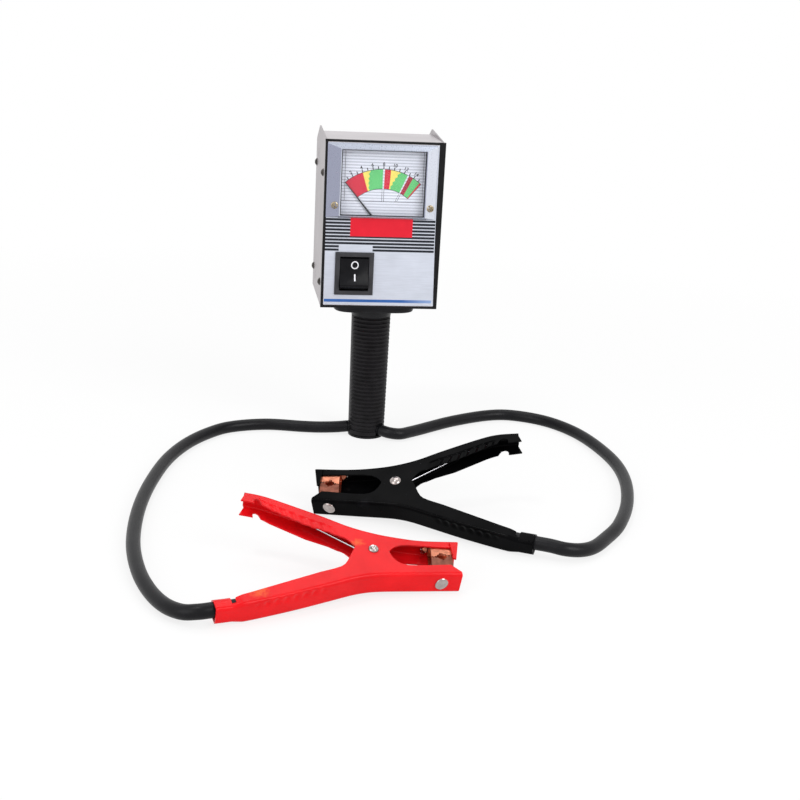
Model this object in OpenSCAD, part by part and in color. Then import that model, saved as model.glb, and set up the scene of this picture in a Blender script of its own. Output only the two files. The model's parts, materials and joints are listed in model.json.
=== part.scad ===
// Hand-held battery load tester: a sheet-steel case on a ribbed grip, a needle
// meter, a sprung load switch, two heavy leads and two stamped spring clamps.
// Origin: centre of the grip's end face, which stands on the floor. +Z is up,
// the face looks along -Y, and the leads and clamps lie on the floor.

/* [Case] */
// Width of the case across the side panels
case_w = 106; // [90:1:130]
// Height of the case
case_h = 152; // [146:1:180]
// Depth of the case from the face to the back panel
case_d = 97; // [88:1:120]
// Thickness of the case's steel sheet
sheet_t = 1.2; // [0.8:0.1:1.6]
// Depth of the top panel, which stops short of the back
top_d = 63; // [50:1:70]
// How far the side panels rise above the top panel at their peak
side_rise = 4.4; // [0:0.2:8]
// Depth of the side panels' peak behind the face
peak_d = 67; // [64:1:80]
// How far the rear corner of a side panel drops below the top panel
rear_drop = 10.5; // [6:0.5:20]
// Depth of the chassis' side flanges, which take the front screws
flange_d = 26; // [22:1:34]
// Depth of the front screws behind the face
front_screw_d = 18; // [14:1:19]
// Depth of the rear screws behind the face
rear_screw_d = 88; // [78:1:88]
// Height of the lower case screws above the case's bottom
low_screw_z = 20; // [14:1:40]
// Height of the upper case screws above the case's bottom
high_screw_z = 120; // [90:1:130]
// Diameter of a case screw's head
screw_head_d = 7; // [5:0.5:9]
// Number of vent slots in each column of the back panel
vent_count = 11; // [4:1:12]
// Height of one vent slot
vent_h = 3.2; // [2:0.2:4]
// Length of one vent slot
vent_l = 36; // [20:1:40]

/* [Meter] */
// Distance from the case's side to the meter's bezel
bezel_inset = 3.5; // [3:0.5:5]
// Height of the meter's bezel
bezel_h = 67; // [64:1:69]
// How far the bezel stands out of the face
bezel_out = 5; // [3:0.5:8]
// Distance from the case's side to the meter's window
window_inset = 14.5; // [13.5:0.5:16]
// Height of the meter's window
window_h = 58.5; // [54:0.5:60]
// Height of the window's lower edge above the case's bottom
window_z = 84; // [82:0.5:84]
// Height of the needle's pivot above the case's bottom
pivot_z = 73.4; // [71:0.2:75]
// Length of the needle from its pivot to its tip
needle_l = 53.5; // [48:0.5:55]
// Half of the needle's whole swing in degrees
needle_swing = 40.3; // [35:0.1:42]
// Depth of the meter's housing behind the face panel
housing_d = 26; // [24:1:32]

/* [Load switch] */
// Width of the switch's frame
switch_w = 35.3; // [32:0.1:38]
// Height of the switch's frame
switch_h = 39.3; // [37:0.1:42]
// Width of the rocker
rocker_w = 26; // [22:0.5:28]
// Height of the rocker
rocker_h = 30.8; // [28:0.2:32]
// Distance of the switch's centre to the left of the middle
switch_x = 23.6; // [20:0.2:27]
// Height of the switch's centre above the case's bottom
switch_z = 32; // [30:0.5:34]
// Travel of the rocker in degrees
rocker_travel = 14; // [8:1:16]

/* [Handle] */
// Distance from the floor to the case's bottom
handle_l = 139; // [125:1:160]
// Diameter of the grip at its top
grip_d = 39; // [38:0.5:42]
// Diameter of the grip at its end
grip_end_d = 36.8; // [36:0.2:38]
// Outer diameter of the steel tube inside the grip
tube_d = 31; // [30:0.5:32]
// Wall of the steel tube
tube_t = 2; // [1.5:0.1:2.2]
// Number of ribs on the grip
rib_count = 29; // [12:1:30]
// Height of a rib above the grip's body
rib_h = 0.9; // [0.4:0.1:1.2]
// Width of the handle's flange under the case
flange_w = 76; // [72:1:84]
// Depth of the handle's flange
flange_y = 62; // [56:1:70]
// Thickness of the handle's flange
flange_t = 6.5; // [5:0.5:9]
// Distance between the flange screws across the face
flange_screw_x = 54; // [48:1:56]
// Distance between the flange screws from front to back
flange_screw_y = 40; // [36:1:44]

/* [Leads] */
// Outer diameter of a lead
lead_d = 11.2; // [10:0.1:11.4]
// Height of a lead's middle where it leaves the grip
exit_z = 8; // [7.8:0.1:9]

/* [Clamps] */
// Width of the lower half's channel
clamp_w = 18.5; // [18:0.5:22]
// Thickness of the clamps' steel sheet
clamp_t = 1.2; // [1:0.1:1.4]
// Side clearance between the two halves of a clamp
nest_gap = 0.15; // [0.1:0.05:0.4]
// Outer radius of the pivot rivet's tube
rivet_r = 3.2; // [2.8:0.1:3.6]
// Running clearance between the pivot rivet and the upper half
pivot_play = 0.06; // [0.02:0.01:0.1]
// Diameter of the clamp spring's wire
spring_wire = 2; // [1.6:0.1:2.2]
// Width of a copper jaw
jaw_w = 12.6; // [11:0.1:13]

/* [Hidden] */

// Case levels
case_z = handle_l;
top_z = case_z + case_h;
face_y = -case_d / 2;
back_y = case_d / 2;
inner_w = case_w - 2 * sheet_t;
label_t = 0.3;
panel_back = face_y + sheet_t;
label_front = face_y - label_t;
screw_hole_r = 1.8;
screw_head_h = 2.2;
tab_slot_h = 8;
tab_slot_w = 1.6;
tab_slot_d = 71;
vent_pitch = 9;
vent_gap = 10;

// Meter levels
bezel_w = case_w - 2 * bezel_inset;
window_w = case_w - 2 * window_inset;
window_low = case_z + window_z;
window_top = window_low + window_h;
window_mid = (window_low + window_top) / 2;
bezel_low = window_low - 2;
bezel_top = bezel_low + bezel_h;
bezel_land = 1.2;
pane_lap = 1.5;
meter_screw_x = (bezel_w + window_w) / 4 - 0.8;
meter_screw_z = window_low + 9;
housing_w = case_w - 17;
dial_w = housing_w - 7;
housing_low = case_z + 55;
housing_top = bezel_top - 2;
housing_t = 2;
pivot_h = case_z + pivot_z;
dial_y = face_y + 5;
dial_t = 0.8;
needle_y = dial_y - 1.6;
needle_t = 0.5;
core_r = 6;
core_y0 = dial_y + 5;
core_len = 9;
yoke_in = 10.5;
yoke_out = 13;
coil_in = 7;
coil_t = 1.4;
pin_r = 0.8;
pin_play = 0.05;

// Switch levels
switch_cz = case_z + switch_z;
switch_out = 2.4;
rocker_gap = 0.3;
rocker_pivot_y = face_y + 4;
rocker_r = rocker_h / 2;
rocker_pin_r = 1.5;
body_back = face_y + 26;

// Load element levels
shield_y = back_y - 16;
element_y = shield_y + sheet_t + 2.5;
element_w = 7;
element_t = 1.2;
element_runs = 6;
element_pitch = (inner_w - 38.6) / (element_runs - 1);
element_low = case_z + 40;
element_high = case_z + high_screw_z - 8;
post_r = 4;
board_low = case_z + sheet_t;
board_h = 30;
board_t = 4;
board_y = 6;
stud_r = 2.5;
stud_x = 16;
stud_z = board_low + 20;

// Handle levels
tube_r = tube_d / 2;
bore_r = tube_r - tube_t;
flange_low = case_z - flange_t;
collar_low = flange_low - 12;
grip_low = 3;
rib_pitch = (collar_low - grip_low - 6) / rib_count;
cap_t = 2;
flange_corner = 18;
flange_screw_r = 2.1;

// Leads: radius and where they leave the grip
lead_r = lead_d / 2;
left_az = 184;
right_az = -47;
left_run = 6.4;
right_run = 6.9;
elbow_r = 12;
notch_r = lead_r + 0.2;

// Clamps: where the lower half's tail touches the floor, heading, and lean
red_tail = [-149.5, -396.7, 0];
red_heading = 14.6;
red_lean = 18;
black_tail = [99.7, -291.5, 0];
black_heading = 151.9;
black_lean = 25.5;
pivot = [127, 36.5];
upper_w = clamp_w - 2 * clamp_t - 2 * nest_gap;
upper_z = (clamp_w - upper_w) / 2;
mid_z = clamp_w / 2;
jaw_t = 1.5;
jaw_x0 = 159;
jaw_x1 = 181;
parting_y = 17;
jaw_rivet_x = 171;
crimp_l = 12;
crimp_y = clamp_t + lead_r;
lead_stop = 44;
// The lower half's web, seen from the side
belly = [[0, 0], [22, 0], [57, 3.5], [85, 7.5], [104, 10.3], [116, 10.8], [128, 9.6], [150, 6], [186, 0]];

steel = "gainsboro";
plated = "silver";
black_plastic = "#262628";
rubber = "#1b1b1d";

// A lead's middle line on the floor, from the grip to the clamp's crimp
left_route = [[-19, -1.3, 8], [-30, -1, 7], [-46, 1, 6], [-63, 4, 5.6], [-98, 10, 5.6], [-132, 2, 5.6],
    [-154, -17, 5.6], [-174, -47, 5.6], [-190, -87, 5.6], [-201, -135, 5.6], [-208, -183, 5.6],
    [-211, -231, 5.6], [-210, -277, 5.6], [-204, -319, 5.6], [-195, -351, 5.6], [-184, -375, 6.4],
    [-172, -390, 8.4], [-161, -394.6, 10.4]];
right_route = [[13, -13.9, 8], [21, -20, 7.4], [31, -20.5, 6.6], [42, -13, 6], [54, -4, 5.6],
    [92, 22, 5.6], [132, 40, 5.6], [160, 39, 5.6], [191, 18, 5.6], [213, -23, 5.6], [224, -85, 5.6],
    [221, -139, 5.6], [206, -195, 5.6], [184, -243, 5.6], [163, -272, 5.6], [149, -288, 6.2],
    [136, -297, 8], [123, -299.5, 10], [111.5, -295, 11.2]];

// ---- Geometry helpers ----

function unit(v) = v / norm(v);

// Catmull-Rom curve through every point, with n steps from each point to the next
function smooth(p, n) = concat([for (i = [0:len(p) - 2], s = [0:n - 1])
    let (a = p[max(i - 1, 0)], b = p[i], c = p[i + 1], d = p[min(i + 2, len(p) - 1)], t = s / n)
    0.5 * (2 * b + (c - a) * t + (2 * a - 5 * b + 4 * c - d) * t * t
        + (3 * b - a - 3 * c + d) * t * t * t)], [p[len(p) - 1]]);

// A line moved sideways by d, to its left as it runs
function beside(p, d) = [for (i = [0:len(p) - 1])
    let (u = unit(p[min(i + 1, len(p) - 1)] - p[max(i - 1, 0)])) p[i] + d * [-u[1], u[0]]];

function backwards(p) = [for (i = [len(p) - 1:-1:0]) p[i]];

// Height of a straight line through a and b at x
function height_at(a, b, x) = a[1] + (b[1] - a[1]) * (x - a[0]) / (b[0] - a[0]);

function arc_points(c, r, from, to, n) =
    [for (i = [0:n]) let (a = from + (to - from) * i / n) c + r * [cos(a), sin(a)]];

// A round tube swept along a path; first and last are the directions at its ends
module swept_tube(path, r, sides, first, last) {
    n = len(path);
    dirs = [for (i = [0:n - 1]) i == 0 ? unit(first) : i == n - 1 ? unit(last)
        : unit(path[i + 1] - path[i - 1])];
    rings = [for (i = [0:n - 1]) let (side = unit(cross(dirs[i], [0, 0, 1])), up = cross(side, dirs[i]))
        for (k = [0:sides - 1]) path[i] + r * (cos(360 * k / sides) * side + sin(360 * k / sides) * up)];
    walls = [for (i = [0:n - 2], k = [0:sides - 1]) let (j = (k + 1) % sides)
        [i * sides + k, i * sides + j, (i + 1) * sides + j, (i + 1) * sides + k]];
    start = [for (k = [sides - 1:-1:0]) k];
    end = [for (k = [0:sides - 1]) (n - 1) * sides + k];
    polyhedron(points = rings, faces = concat([start], walls, [end]));
}

// Extrudes a y-z outline along +X from x
module slab_x(x, t, outline) translate([x, 0, 0]) rotate([90, 0, 90]) linear_extrude(t) polygon(outline);

// A cylinder along +Y from y0 to y1
module bar_y(x, z, y0, y1, r) translate([x, y0, z]) rotate([-90, 0, 0]) cylinder(h = y1 - y0, r = r, $fn = 48);

// A box from its low corner to its high corner
module box(low, high) translate(low) cube(high - low);

// A solid between an outer rectangle at y0 and an inner rectangle at y1, each [x0, z0, x1, z1]
module tapered_y(r0, y0, r1, y1) {
    corners = [for (r = [[r0, y0], [r1, y1]]) each [[r[0][0], r[1], r[0][1]], [r[0][2], r[1], r[0][1]],
        [r[0][2], r[1], r[0][3]], [r[0][0], r[1], r[0][3]]]];
    polyhedron(points = corners,
        faces = [[0, 3, 2, 1], [4, 5, 6, 7], [0, 1, 5, 4], [1, 2, 6, 5], [2, 3, 7, 6], [3, 0, 4, 7]]);
}

// Extrudes an x-y outline up from z
module slab_z(z, t, outline) translate([0, 0, z]) linear_extrude(t) polygon(outline);

// A round hole or pin along X
module bar_x(x0, x1, y, z, r) translate([x0, y, z]) rotate([0, 90, 0]) cylinder(h = x1 - x0, r = r, $fn = 48);

module bar_z(x, y, z0, z1, r) translate([x, y, z0]) cylinder(h = z1 - z0, r = r, $fn = 48);

// ---- Case ----

bend_r = 2.6;

// Side view of the front chassis' bent sheet, inset from its outer surface
function chassis_line(inset) = concat([[back_y - sheet_t, case_z + inset]],
    backwards(arc_points([face_y + bend_r, case_z + bend_r], bend_r - inset, 180, 270, 5)),
    backwards(arc_points([face_y + bend_r, top_z - bend_r], bend_r - inset, 90, 180, 5)),
    [[face_y + top_d, top_z - inset]]);

module case_screw_holes(r) for (z = [low_screw_z, high_screw_z]) {
    bar_x(-case_w, case_w, face_y + front_screw_d, case_z + z, r);
    bar_x(-case_w, case_w, face_y + rear_screw_d, case_z + z, r);
}

module front_chassis() color(steel) difference() {
    union() {
        slab_x(-inner_w / 2, inner_w, concat(chassis_line(0), backwards(chassis_line(sheet_t))));
        for (s = [0, 1]) mirror([s, 0, 0])
            box([inner_w / 2 - sheet_t, face_y + sheet_t, case_z + sheet_t],
                [inner_w / 2, face_y + flange_d, top_z - sheet_t]);
    }
    box([-window_w / 2 - pane_lap, face_y - 1, window_low - pane_lap],
        [window_w / 2 + pane_lap, face_y + 3, window_top + pane_lap]);
    box([-switch_x - body_w / 2, face_y - 1, switch_cz - body_h / 2],
        [-switch_x + body_w / 2, face_y + 3, switch_cz + body_h / 2]);
    for (x = [-1, 1]) bar_y(x * meter_screw_x, meter_screw_z, face_y - 1, face_y + 3, meter_screw_r);
    case_screw_holes(screw_hole_r);
    bar_z(0, 0, case_z - 1, case_z + 3, bore_r);
    flange_screw_places() cylinder(h = 3 * flange_t, r = flange_screw_r, center = true, $fn = 32);
}

module flange_screw_places() for (x = [-1, 1], y = [-1, 1])
    translate([x * flange_screw_x / 2, y * flange_screw_y / 2, case_z]) children();

cover_side = [[face_y, case_z], [back_y, case_z], [back_y, top_z - rear_drop],
    [face_y + peak_d, top_z + side_rise], [face_y, top_z]];

module wrap_cover() color(steel) difference() {
    union() {
        slab_x(-case_w / 2, sheet_t, cover_side);
        slab_x(inner_w / 2, sheet_t, cover_side);
        box([-inner_w / 2, back_y - sheet_t, case_z], [inner_w / 2, back_y, top_z - rear_drop]);
    }
    for (s = [-1, 1], i = [0:vent_count - 1])
        translate([s * (vent_gap + vent_l) / 2, back_y, case_z + 20 + i * vent_pitch])
            cube([vent_l, 4, vent_h], center = true);
    for (z = [low_screw_z - 5, high_screw_z + 11])
        translate([0, face_y + tab_slot_d, case_z + z]) cube([2 * case_w, tab_slot_w, tab_slot_h], center = true);
    case_screw_holes(screw_hole_r);
}

module face_label() color(plated) difference() {
    box([-inner_w / 2 + 1, label_front, case_z + bend_r + 0.2], [inner_w / 2 - 1, face_y, top_z - bend_r]);
    box([-window_w / 2 - pane_lap, face_y - 1, window_low - pane_lap],
        [window_w / 2 + pane_lap, face_y + 1, window_top + pane_lap]);
    box([-switch_x - body_w / 2, face_y - 1, switch_cz - body_h / 2],
        [-switch_x + body_w / 2, face_y + 1, switch_cz + body_h / 2]);
    for (x = [-1, 1]) bar_y(x * meter_screw_x, meter_screw_z, face_y - 1, face_y + 1, meter_screw_r);
}

module case_screws() color(plated) for (s = [0, 1], d = [front_screw_d, rear_screw_d],
        z = [low_screw_z, high_screw_z])
    mirror([s, 0, 0]) translate([case_w / 2, face_y + d, case_z + z]) rotate([0, 90, 0]) difference() {
        union() {
            intersection() {
                cylinder(h = screw_head_h, r = screw_head_d / 2, $fn = 48);
                translate([0, 0, screw_head_h - 4.2]) sphere(r = 4.2, $fn = 64);
            }
            translate([0, 0, -8]) cylinder(h = 8, r = screw_hole_r, $fn = 32);
        }
        for (a = [0, 90]) rotate([0, 0, a + 20]) translate([0, 0, screw_head_h]) cube([4, 0.9, 1.8], center = true);
    }

// ---- Meter ----

meter_screw_r = 1.5;

module meter_bezel() color(plated) {
    base = [-bezel_w / 2, bezel_low, bezel_w / 2, bezel_top];
    crown = [-window_w / 2 - 1, window_low - 1, window_w / 2 + 1, window_top + 1];
    difference() {
        union() {
            box([base[0], label_front - bezel_land, base[1]], [base[2], label_front, base[3]]);
            tapered_y(crown, label_front - bezel_out, base, label_front - bezel_land);
        }
        box([-window_w / 2, face_y - 20, window_low], [window_w / 2, face_y + 1, window_top]);
        for (x = [-1, 1]) {
            bar_y(x * meter_screw_x, meter_screw_z, face_y - 20, face_y + 1, meter_screw_r);
            bar_y(x * meter_screw_x, meter_screw_z, face_y - 20, label_front - bezel_land - 0.4, 3.2);
        }
    }
}

module meter_window() color("white", 0.3)
    box([-window_w / 2 - pane_lap, label_front, window_low - pane_lap],
        [window_w / 2 + pane_lap, panel_back, window_top + pane_lap]);

module meter_screws() color("darkgoldenrod") for (x = [-1, 1])
    translate([x * meter_screw_x, label_front - bezel_land - 0.4, meter_screw_z]) rotate([90, 0, 0]) difference() {
        union() {
            intersection() {
                cylinder(h = 2, r = 2.9, $fn = 48);
                translate([0, 0, -1.4]) sphere(r = 3.4, $fn = 64);
            }
            translate([0, 0, -14]) cylinder(h = 14, r = meter_screw_r, $fn = 32);
        }
        for (a = [0, 90]) rotate([0, 0, a + 35]) translate([0, 0, 2]) cube([3.4, 0.8, 1.6], center = true);
    }

cavity_w = dial_w + 0.4;
ledge = 2.5;
dial_back = dial_y + dial_t;
housing_back = panel_back + housing_d;

module meter_housing() color("ghostwhite") difference() {
    box([-housing_w / 2, panel_back, housing_low], [housing_w / 2, housing_back, housing_top]);
    box([-cavity_w / 2, panel_back - 1, housing_low + housing_t],
        [cavity_w / 2, dial_back, housing_top - housing_t]);
    box([-cavity_w / 2 + ledge, dial_y, housing_low + housing_t + ledge],
        [cavity_w / 2 - ledge, housing_back - housing_t, housing_top - housing_t - ledge]);
    for (x = [-1, 1]) bar_y(x * meter_screw_x, meter_screw_z, face_y, face_y + 14, meter_screw_r);
}

module dial_plate() color("white") difference() {
    box([-dial_w / 2, dial_y, housing_low + housing_t], [dial_w / 2, dial_back, housing_top - housing_t]);
    bar_y(0, pivot_h, dial_y - 1, dial_back + 1, 3);
}

rear_bearing_y = core_y0 + core_len + 3.2;
yoke_mid = (yoke_in + yoke_out) / 2;
yoke_y0 = core_y0 - 0.5;
yoke_y1 = core_y0 + core_len + 0.5;

module meter_yoke() color("slategray") difference() {
    union() {
        difference() {
            bar_y(0, pivot_h, yoke_y0, yoke_y1, yoke_out);
            bar_y(0, pivot_h, yoke_y0 - 1, yoke_y1 + 1, yoke_in);
        }
        for (x = [-1, 1]) box([x * yoke_mid - 1.2, yoke_y1 - 1, pivot_h - 3],
            [x * yoke_mid + 1.2, housing_back - housing_t, pivot_h + 3]);
        box([-yoke_mid, rear_bearing_y, pivot_h - 3], [yoke_mid, rear_bearing_y + 1.4, pivot_h + 3]);
    }
    bar_y(0, pivot_h, rear_bearing_y - 1, rear_bearing_y + 3, pin_r + pin_play);
}

module meter_core() color("dimgray") {
    bar_y(0, pivot_h, core_y0, core_y0 + core_len, core_r);
    intersection() {
        bar_y(0, pivot_h, core_y0, core_y0 + core_len, yoke_in);
        box([-2, core_y0, pivot_h - yoke_in - 1], [2, core_y0 + core_len, pivot_h + yoke_in + 1]);
    }
}

bridge_y = dial_back + 0.6;
bridge_t = 1.2;

module meter_bridge() color("goldenrod") difference() {
    union() {
        box([-yoke_mid - 1, bridge_y, pivot_h - 3], [yoke_mid + 1, bridge_y + bridge_t, pivot_h + 3]);
        for (x = [-1, 1]) box([x * yoke_mid - 1, bridge_y, pivot_h - 3], [x * yoke_mid + 1, yoke_y0, pivot_h + 3]);
    }
    bar_y(0, pivot_h, bridge_y - 1, bridge_y + 3, pin_r + pin_play);
}

module about_pivot() translate([0, 0, pivot_h]) rotate([0, -needle_swing, 0]) children();

module meter_needle() color("black") about_pivot() difference() {
    union() {
        translate([0, needle_y + needle_t, 0]) rotate([90, 0, 0]) linear_extrude(needle_t) union() {
            polygon([[-1.1, 0], [1.1, 0], [0.3, needle_l], [-0.3, needle_l]]);
            polygon([[-1.1, 0], [1.1, 0], [1.6, -9], [-1.6, -9]]);
        }
        bar_y(0, 0, needle_y - 0.6, needle_y + needle_t, 2.4);
    }
    bar_y(0, 0, needle_y - 2, needle_y + 2, pin_r);
}

coil_out = coil_in + coil_t;
coil_y0 = bridge_y + bridge_t + 0.4;
coil_y1 = core_y0 + core_len + 0.6;

module moving_coil() color("chocolate") about_pivot() {
    difference() {
        box([-coil_out, coil_y0, -1.5], [coil_out, coil_y1 + coil_t, 1.5]);
        box([-coil_in, coil_y0 + coil_t, -2], [coil_in, coil_y1, 2]);
    }
    bar_y(0, 0, needle_y - 1, coil_y0 + 0.2, pin_r);
    bar_y(0, 0, coil_y1 + 0.2, rear_bearing_y + 1.4, pin_r);
}

// ---- Load switch ----

body_w = rocker_w + 2 * rocker_gap + 3.2;
body_h = rocker_h + 2 * rocker_gap + 3.2;

module switch_frame() color(black_plastic) difference() {
    union() {
        tapered_y([-switch_x - switch_w / 2 + 0.8, switch_cz - switch_h / 2 + 0.8,
            -switch_x + switch_w / 2 - 0.8, switch_cz + switch_h / 2 - 0.8], label_front - switch_out,
            [-switch_x - switch_w / 2, switch_cz - switch_h / 2,
            -switch_x + switch_w / 2, switch_cz + switch_h / 2], label_front - switch_out + 0.8);
        box([-switch_x - switch_w / 2, label_front - switch_out + 0.8, switch_cz - switch_h / 2],
            [-switch_x + switch_w / 2, label_front, switch_cz + switch_h / 2]);
        box([-switch_x - body_w / 2, label_front - 0.1, switch_cz - body_h / 2],
            [-switch_x + body_w / 2, body_back, switch_cz + body_h / 2]);
    }
    box([-switch_x - rocker_w / 2 - rocker_gap, face_y - 20, switch_cz - rocker_r - rocker_gap],
        [-switch_x + rocker_w / 2 + rocker_gap, body_back - 2, switch_cz + rocker_r + rocker_gap]);
    bar_x(-switch_x - rocker_w / 2 - 1.3, -switch_x + rocker_w / 2 + 1.3, rocker_pivot_y, switch_cz,
        rocker_pin_r + pin_play);
}

// Side view of the rocker: pressed in at the top, standing out at the bottom
rocker_face = [[label_front - switch_out, 15], [label_front - switch_out - 0.2, 13.2],
    [label_front - switch_out + 1.2, 0.6], [label_front - switch_out - 4.2, -9.4],
    [label_front - switch_out - 4, -10.6], [label_front - switch_out + 1.6, -16],
    [rocker_pivot_y + 5, -16], [rocker_pivot_y + 5, 16], [label_front - switch_out, 16]];

module load_rocker() color(black_plastic) translate([-switch_x, 0, switch_cz]) {
    intersection() {
        slab_x(-rocker_w / 2, rocker_w, rocker_face);
        bar_x(-rocker_w / 2, rocker_w / 2, rocker_pivot_y, 0, rocker_r);
    }
    bar_x(-rocker_w / 2 - 1.2, rocker_w / 2 + 1.2, rocker_pivot_y, 0, rocker_pin_r);
}

strap_z = stud_z - 3;
blade_l = 8;
near_blade_x = -switch_x - 6.4;
far_blade_x = 6.6 - switch_x;
far_blade_z = case_z + 37;

module switch_terminals() color("goldenrod") {
    box([near_blade_x, body_back, strap_z], [near_blade_x + 0.8, body_back + blade_l, strap_z + 6]);
    box([far_blade_x, body_back, far_blade_z], [far_blade_x + 0.8, body_back + blade_l, far_blade_z + 6]);
}

// ---- Load circuit ----

element_x = (element_runs - 1) / 2 * element_pitch;
shield_low = case_z + low_screw_z - 10;
shield_high = case_z + high_screw_z + 8;

module heat_shield() color(steel) difference() {
    union() {
        box([-inner_w / 2, shield_y, shield_low], [inner_w / 2, shield_y + sheet_t, shield_high]);
        for (s = [0, 1]) mirror([s, 0, 0])
            box([inner_w / 2 - sheet_t, shield_y, shield_low], [inner_w / 2, shield_y + 12, shield_high]);
    }
    box([-element_x - 6, shield_y - 1, far_blade_z - 2], [-element_x + 5, shield_y + 3, far_blade_z + 8]);
    box([element_x - 5, shield_y - 1, strap_z - 2], [element_x + 6, shield_y + 3, strap_z + 8]);
    case_screw_holes(screw_hole_r);
}

module load_resistor() color("slategray") difference() {
    union() {
        for (i = [0:element_runs - 1]) let (x = i * element_pitch - element_x)
            box([x - element_w / 2, element_y, i == element_runs - 1 ? strap_z - 2 : element_low - 3.5
                - (i == 0 ? 4 : 0)], [x + element_w / 2, element_y + element_t, element_high + 3.5]);
        for (i = [0:element_runs - 2]) let (x = i * element_pitch - element_x,
                z = i % 2 == 0 ? element_high : element_low)
            box([x, element_y, z - 3.5], [x + element_pitch, element_y + element_t, z + 3.5]);
    }
    post_places() bar_y(0, 0, -3, 3, 1.6);
}

module post_places() for (i = [0:element_runs - 2])
    translate([(i + 0.5) * element_pitch - element_x, element_y, i % 2 == 0 ? element_high : element_low])
        children();

module resistor_insulators() color("white") post_places() difference() {
    bar_y(0, 0, shield_y + sheet_t - element_y, 0, post_r);
    bar_y(0, 0, -5, 1, 1.6);
}

module resistor_screws() color(plated) post_places() {
    bar_y(0, 0, shield_y + sheet_t - element_y, element_t + 0.1, 1.6);
    bar_y(0, 0, element_t, element_t + 1.6, 2.9);
}

module terminal_board() color("saddlebrown") difference() {
    box([-25, board_y, board_low], [25, board_y + board_t, board_low + board_h]);
    for (x = [-1, 1]) bar_y(x * stud_x, stud_z, board_y - 1, board_y + board_t + 1, stud_r);
}

lug_t = 1.5;
strap_t = 1;
strap_y = board_y - lug_t - strap_t;

module terminal_studs() color("goldenrod") for (x = [-1, 1]) translate([x * stud_x, 0, stud_z]) {
    bar_y(0, 0, strap_y - 6, board_y + board_t + 1, stud_r);
    translate([0, board_y + board_t + 3, 0]) rotate([90, 0, 0]) cylinder(h = 3, r = 6, $fn = 6);
    translate([0, strap_y, 0]) rotate([90, 0, 0]) cylinder(h = 3.4, r = 6, $fn = 6);
}

module switch_strap() color("darkgoldenrod") difference() {
    union() {
        box([near_blade_x - strap_t, body_back + 1, strap_z], [near_blade_x, strap_y + strap_t, strap_z + 6]);
        box([near_blade_x - strap_t, strap_y, strap_z], [-stud_x, strap_y + strap_t, strap_z + 6]);
        bar_y(-stud_x, stud_z, strap_y, strap_y + strap_t, 6);
    }
    bar_y(-stud_x, stud_z, strap_y - 1, strap_y + 2, stud_r);
}

module resistor_strap() color("darkgoldenrod") {
    x = -element_x - 1;
    box([x, body_back + 3, far_blade_z], [x + strap_t, element_y, far_blade_z + 6]);
    box([x, element_y - strap_t, far_blade_z], [x + 5, element_y, far_blade_z + 6]);
    box([x, body_back + 3, far_blade_z], [far_blade_x, body_back + 3 + strap_t, far_blade_z + 6]);
    box([far_blade_x - strap_t, body_back + 1, far_blade_z], [far_blade_x, body_back + 3.5, far_blade_z + 6]);
}

module return_strap() color("darkgoldenrod") difference() {
    union() {
        box([stud_x, strap_y, strap_z], [element_x + 1, strap_y + strap_t, strap_z + 6]);
        bar_y(stud_x, stud_z, strap_y, strap_y + strap_t, 6);
        box([element_x, strap_y, strap_z], [element_x + strap_t, element_y, strap_z + 6]);
        box([element_x - 3, element_y - strap_t, strap_z], [element_x + 1, element_y, strap_z + 6]);
    }
    bar_y(stud_x, stud_z, strap_y - 1, strap_y + 2, stud_r);
}

// ---- Handle ----

module handle_flange() color(black_plastic) difference() {
    union() {
        translate([0, 0, flange_low]) linear_extrude(flange_t) rounded_plate(flange_w, flange_y, flange_corner);
        bar_z(0, 0, collar_low, flange_low + 1, grip_d / 2);
        translate([0, 0, flange_low - 4]) cylinder(h = 4.5, r1 = grip_d / 2, r2 = grip_d / 2 + 6, $fn = 64);
    }
    bar_z(0, 0, collar_low - 1, case_z + 1, tube_r);
    flange_screw_places() cylinder(h = 4 * flange_t, r = flange_screw_r, center = true, $fn = 32);
}

// A rectangle with round corners
module rounded_plate(w, d, r) {
    square([w - 2 * r, d], center = true);
    square([w, d - 2 * r], center = true);
    for (x = [-1, 1], y = [-1, 1]) translate([x * (w / 2 - r), y * (d / 2 - r)]) circle(r = r, $fn = 64);
}

module flange_screws() color(plated) flange_screw_places() {
    translate([0, 0, -flange_t - 2.4]) cylinder(h = 2.4, r = 4, $fn = 48);
    translate([0, 0, -flange_t - 1]) cylinder(h = flange_t + 6, r = flange_screw_r, $fn = 32);
    translate([0, 0, sheet_t]) cylinder(h = 3.2, r = 4, $fn = 6);
}

module handle_tube() color(plated) difference() {
    bar_z(0, 0, cap_t + 1, case_z, tube_r);
    bar_z(0, 0, 0, case_z + 1, bore_r);
    lead_notches(2.9);
}

// Arched notches in the handle's end where the leads leave
module lead_notches(rise) for (az = [left_az, right_az]) rotate([0, 0, az]) translate([0, 0, exit_z]) {
    for (z = [0, rise]) translate([0, 0, z]) rotate([0, 90, 0]) cylinder(h = 30, r = notch_r, $fn = 48);
    translate([0, -notch_r, cap_t - exit_z]) cube([30, 2 * notch_r, exit_z - cap_t + rise]);
}

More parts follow.
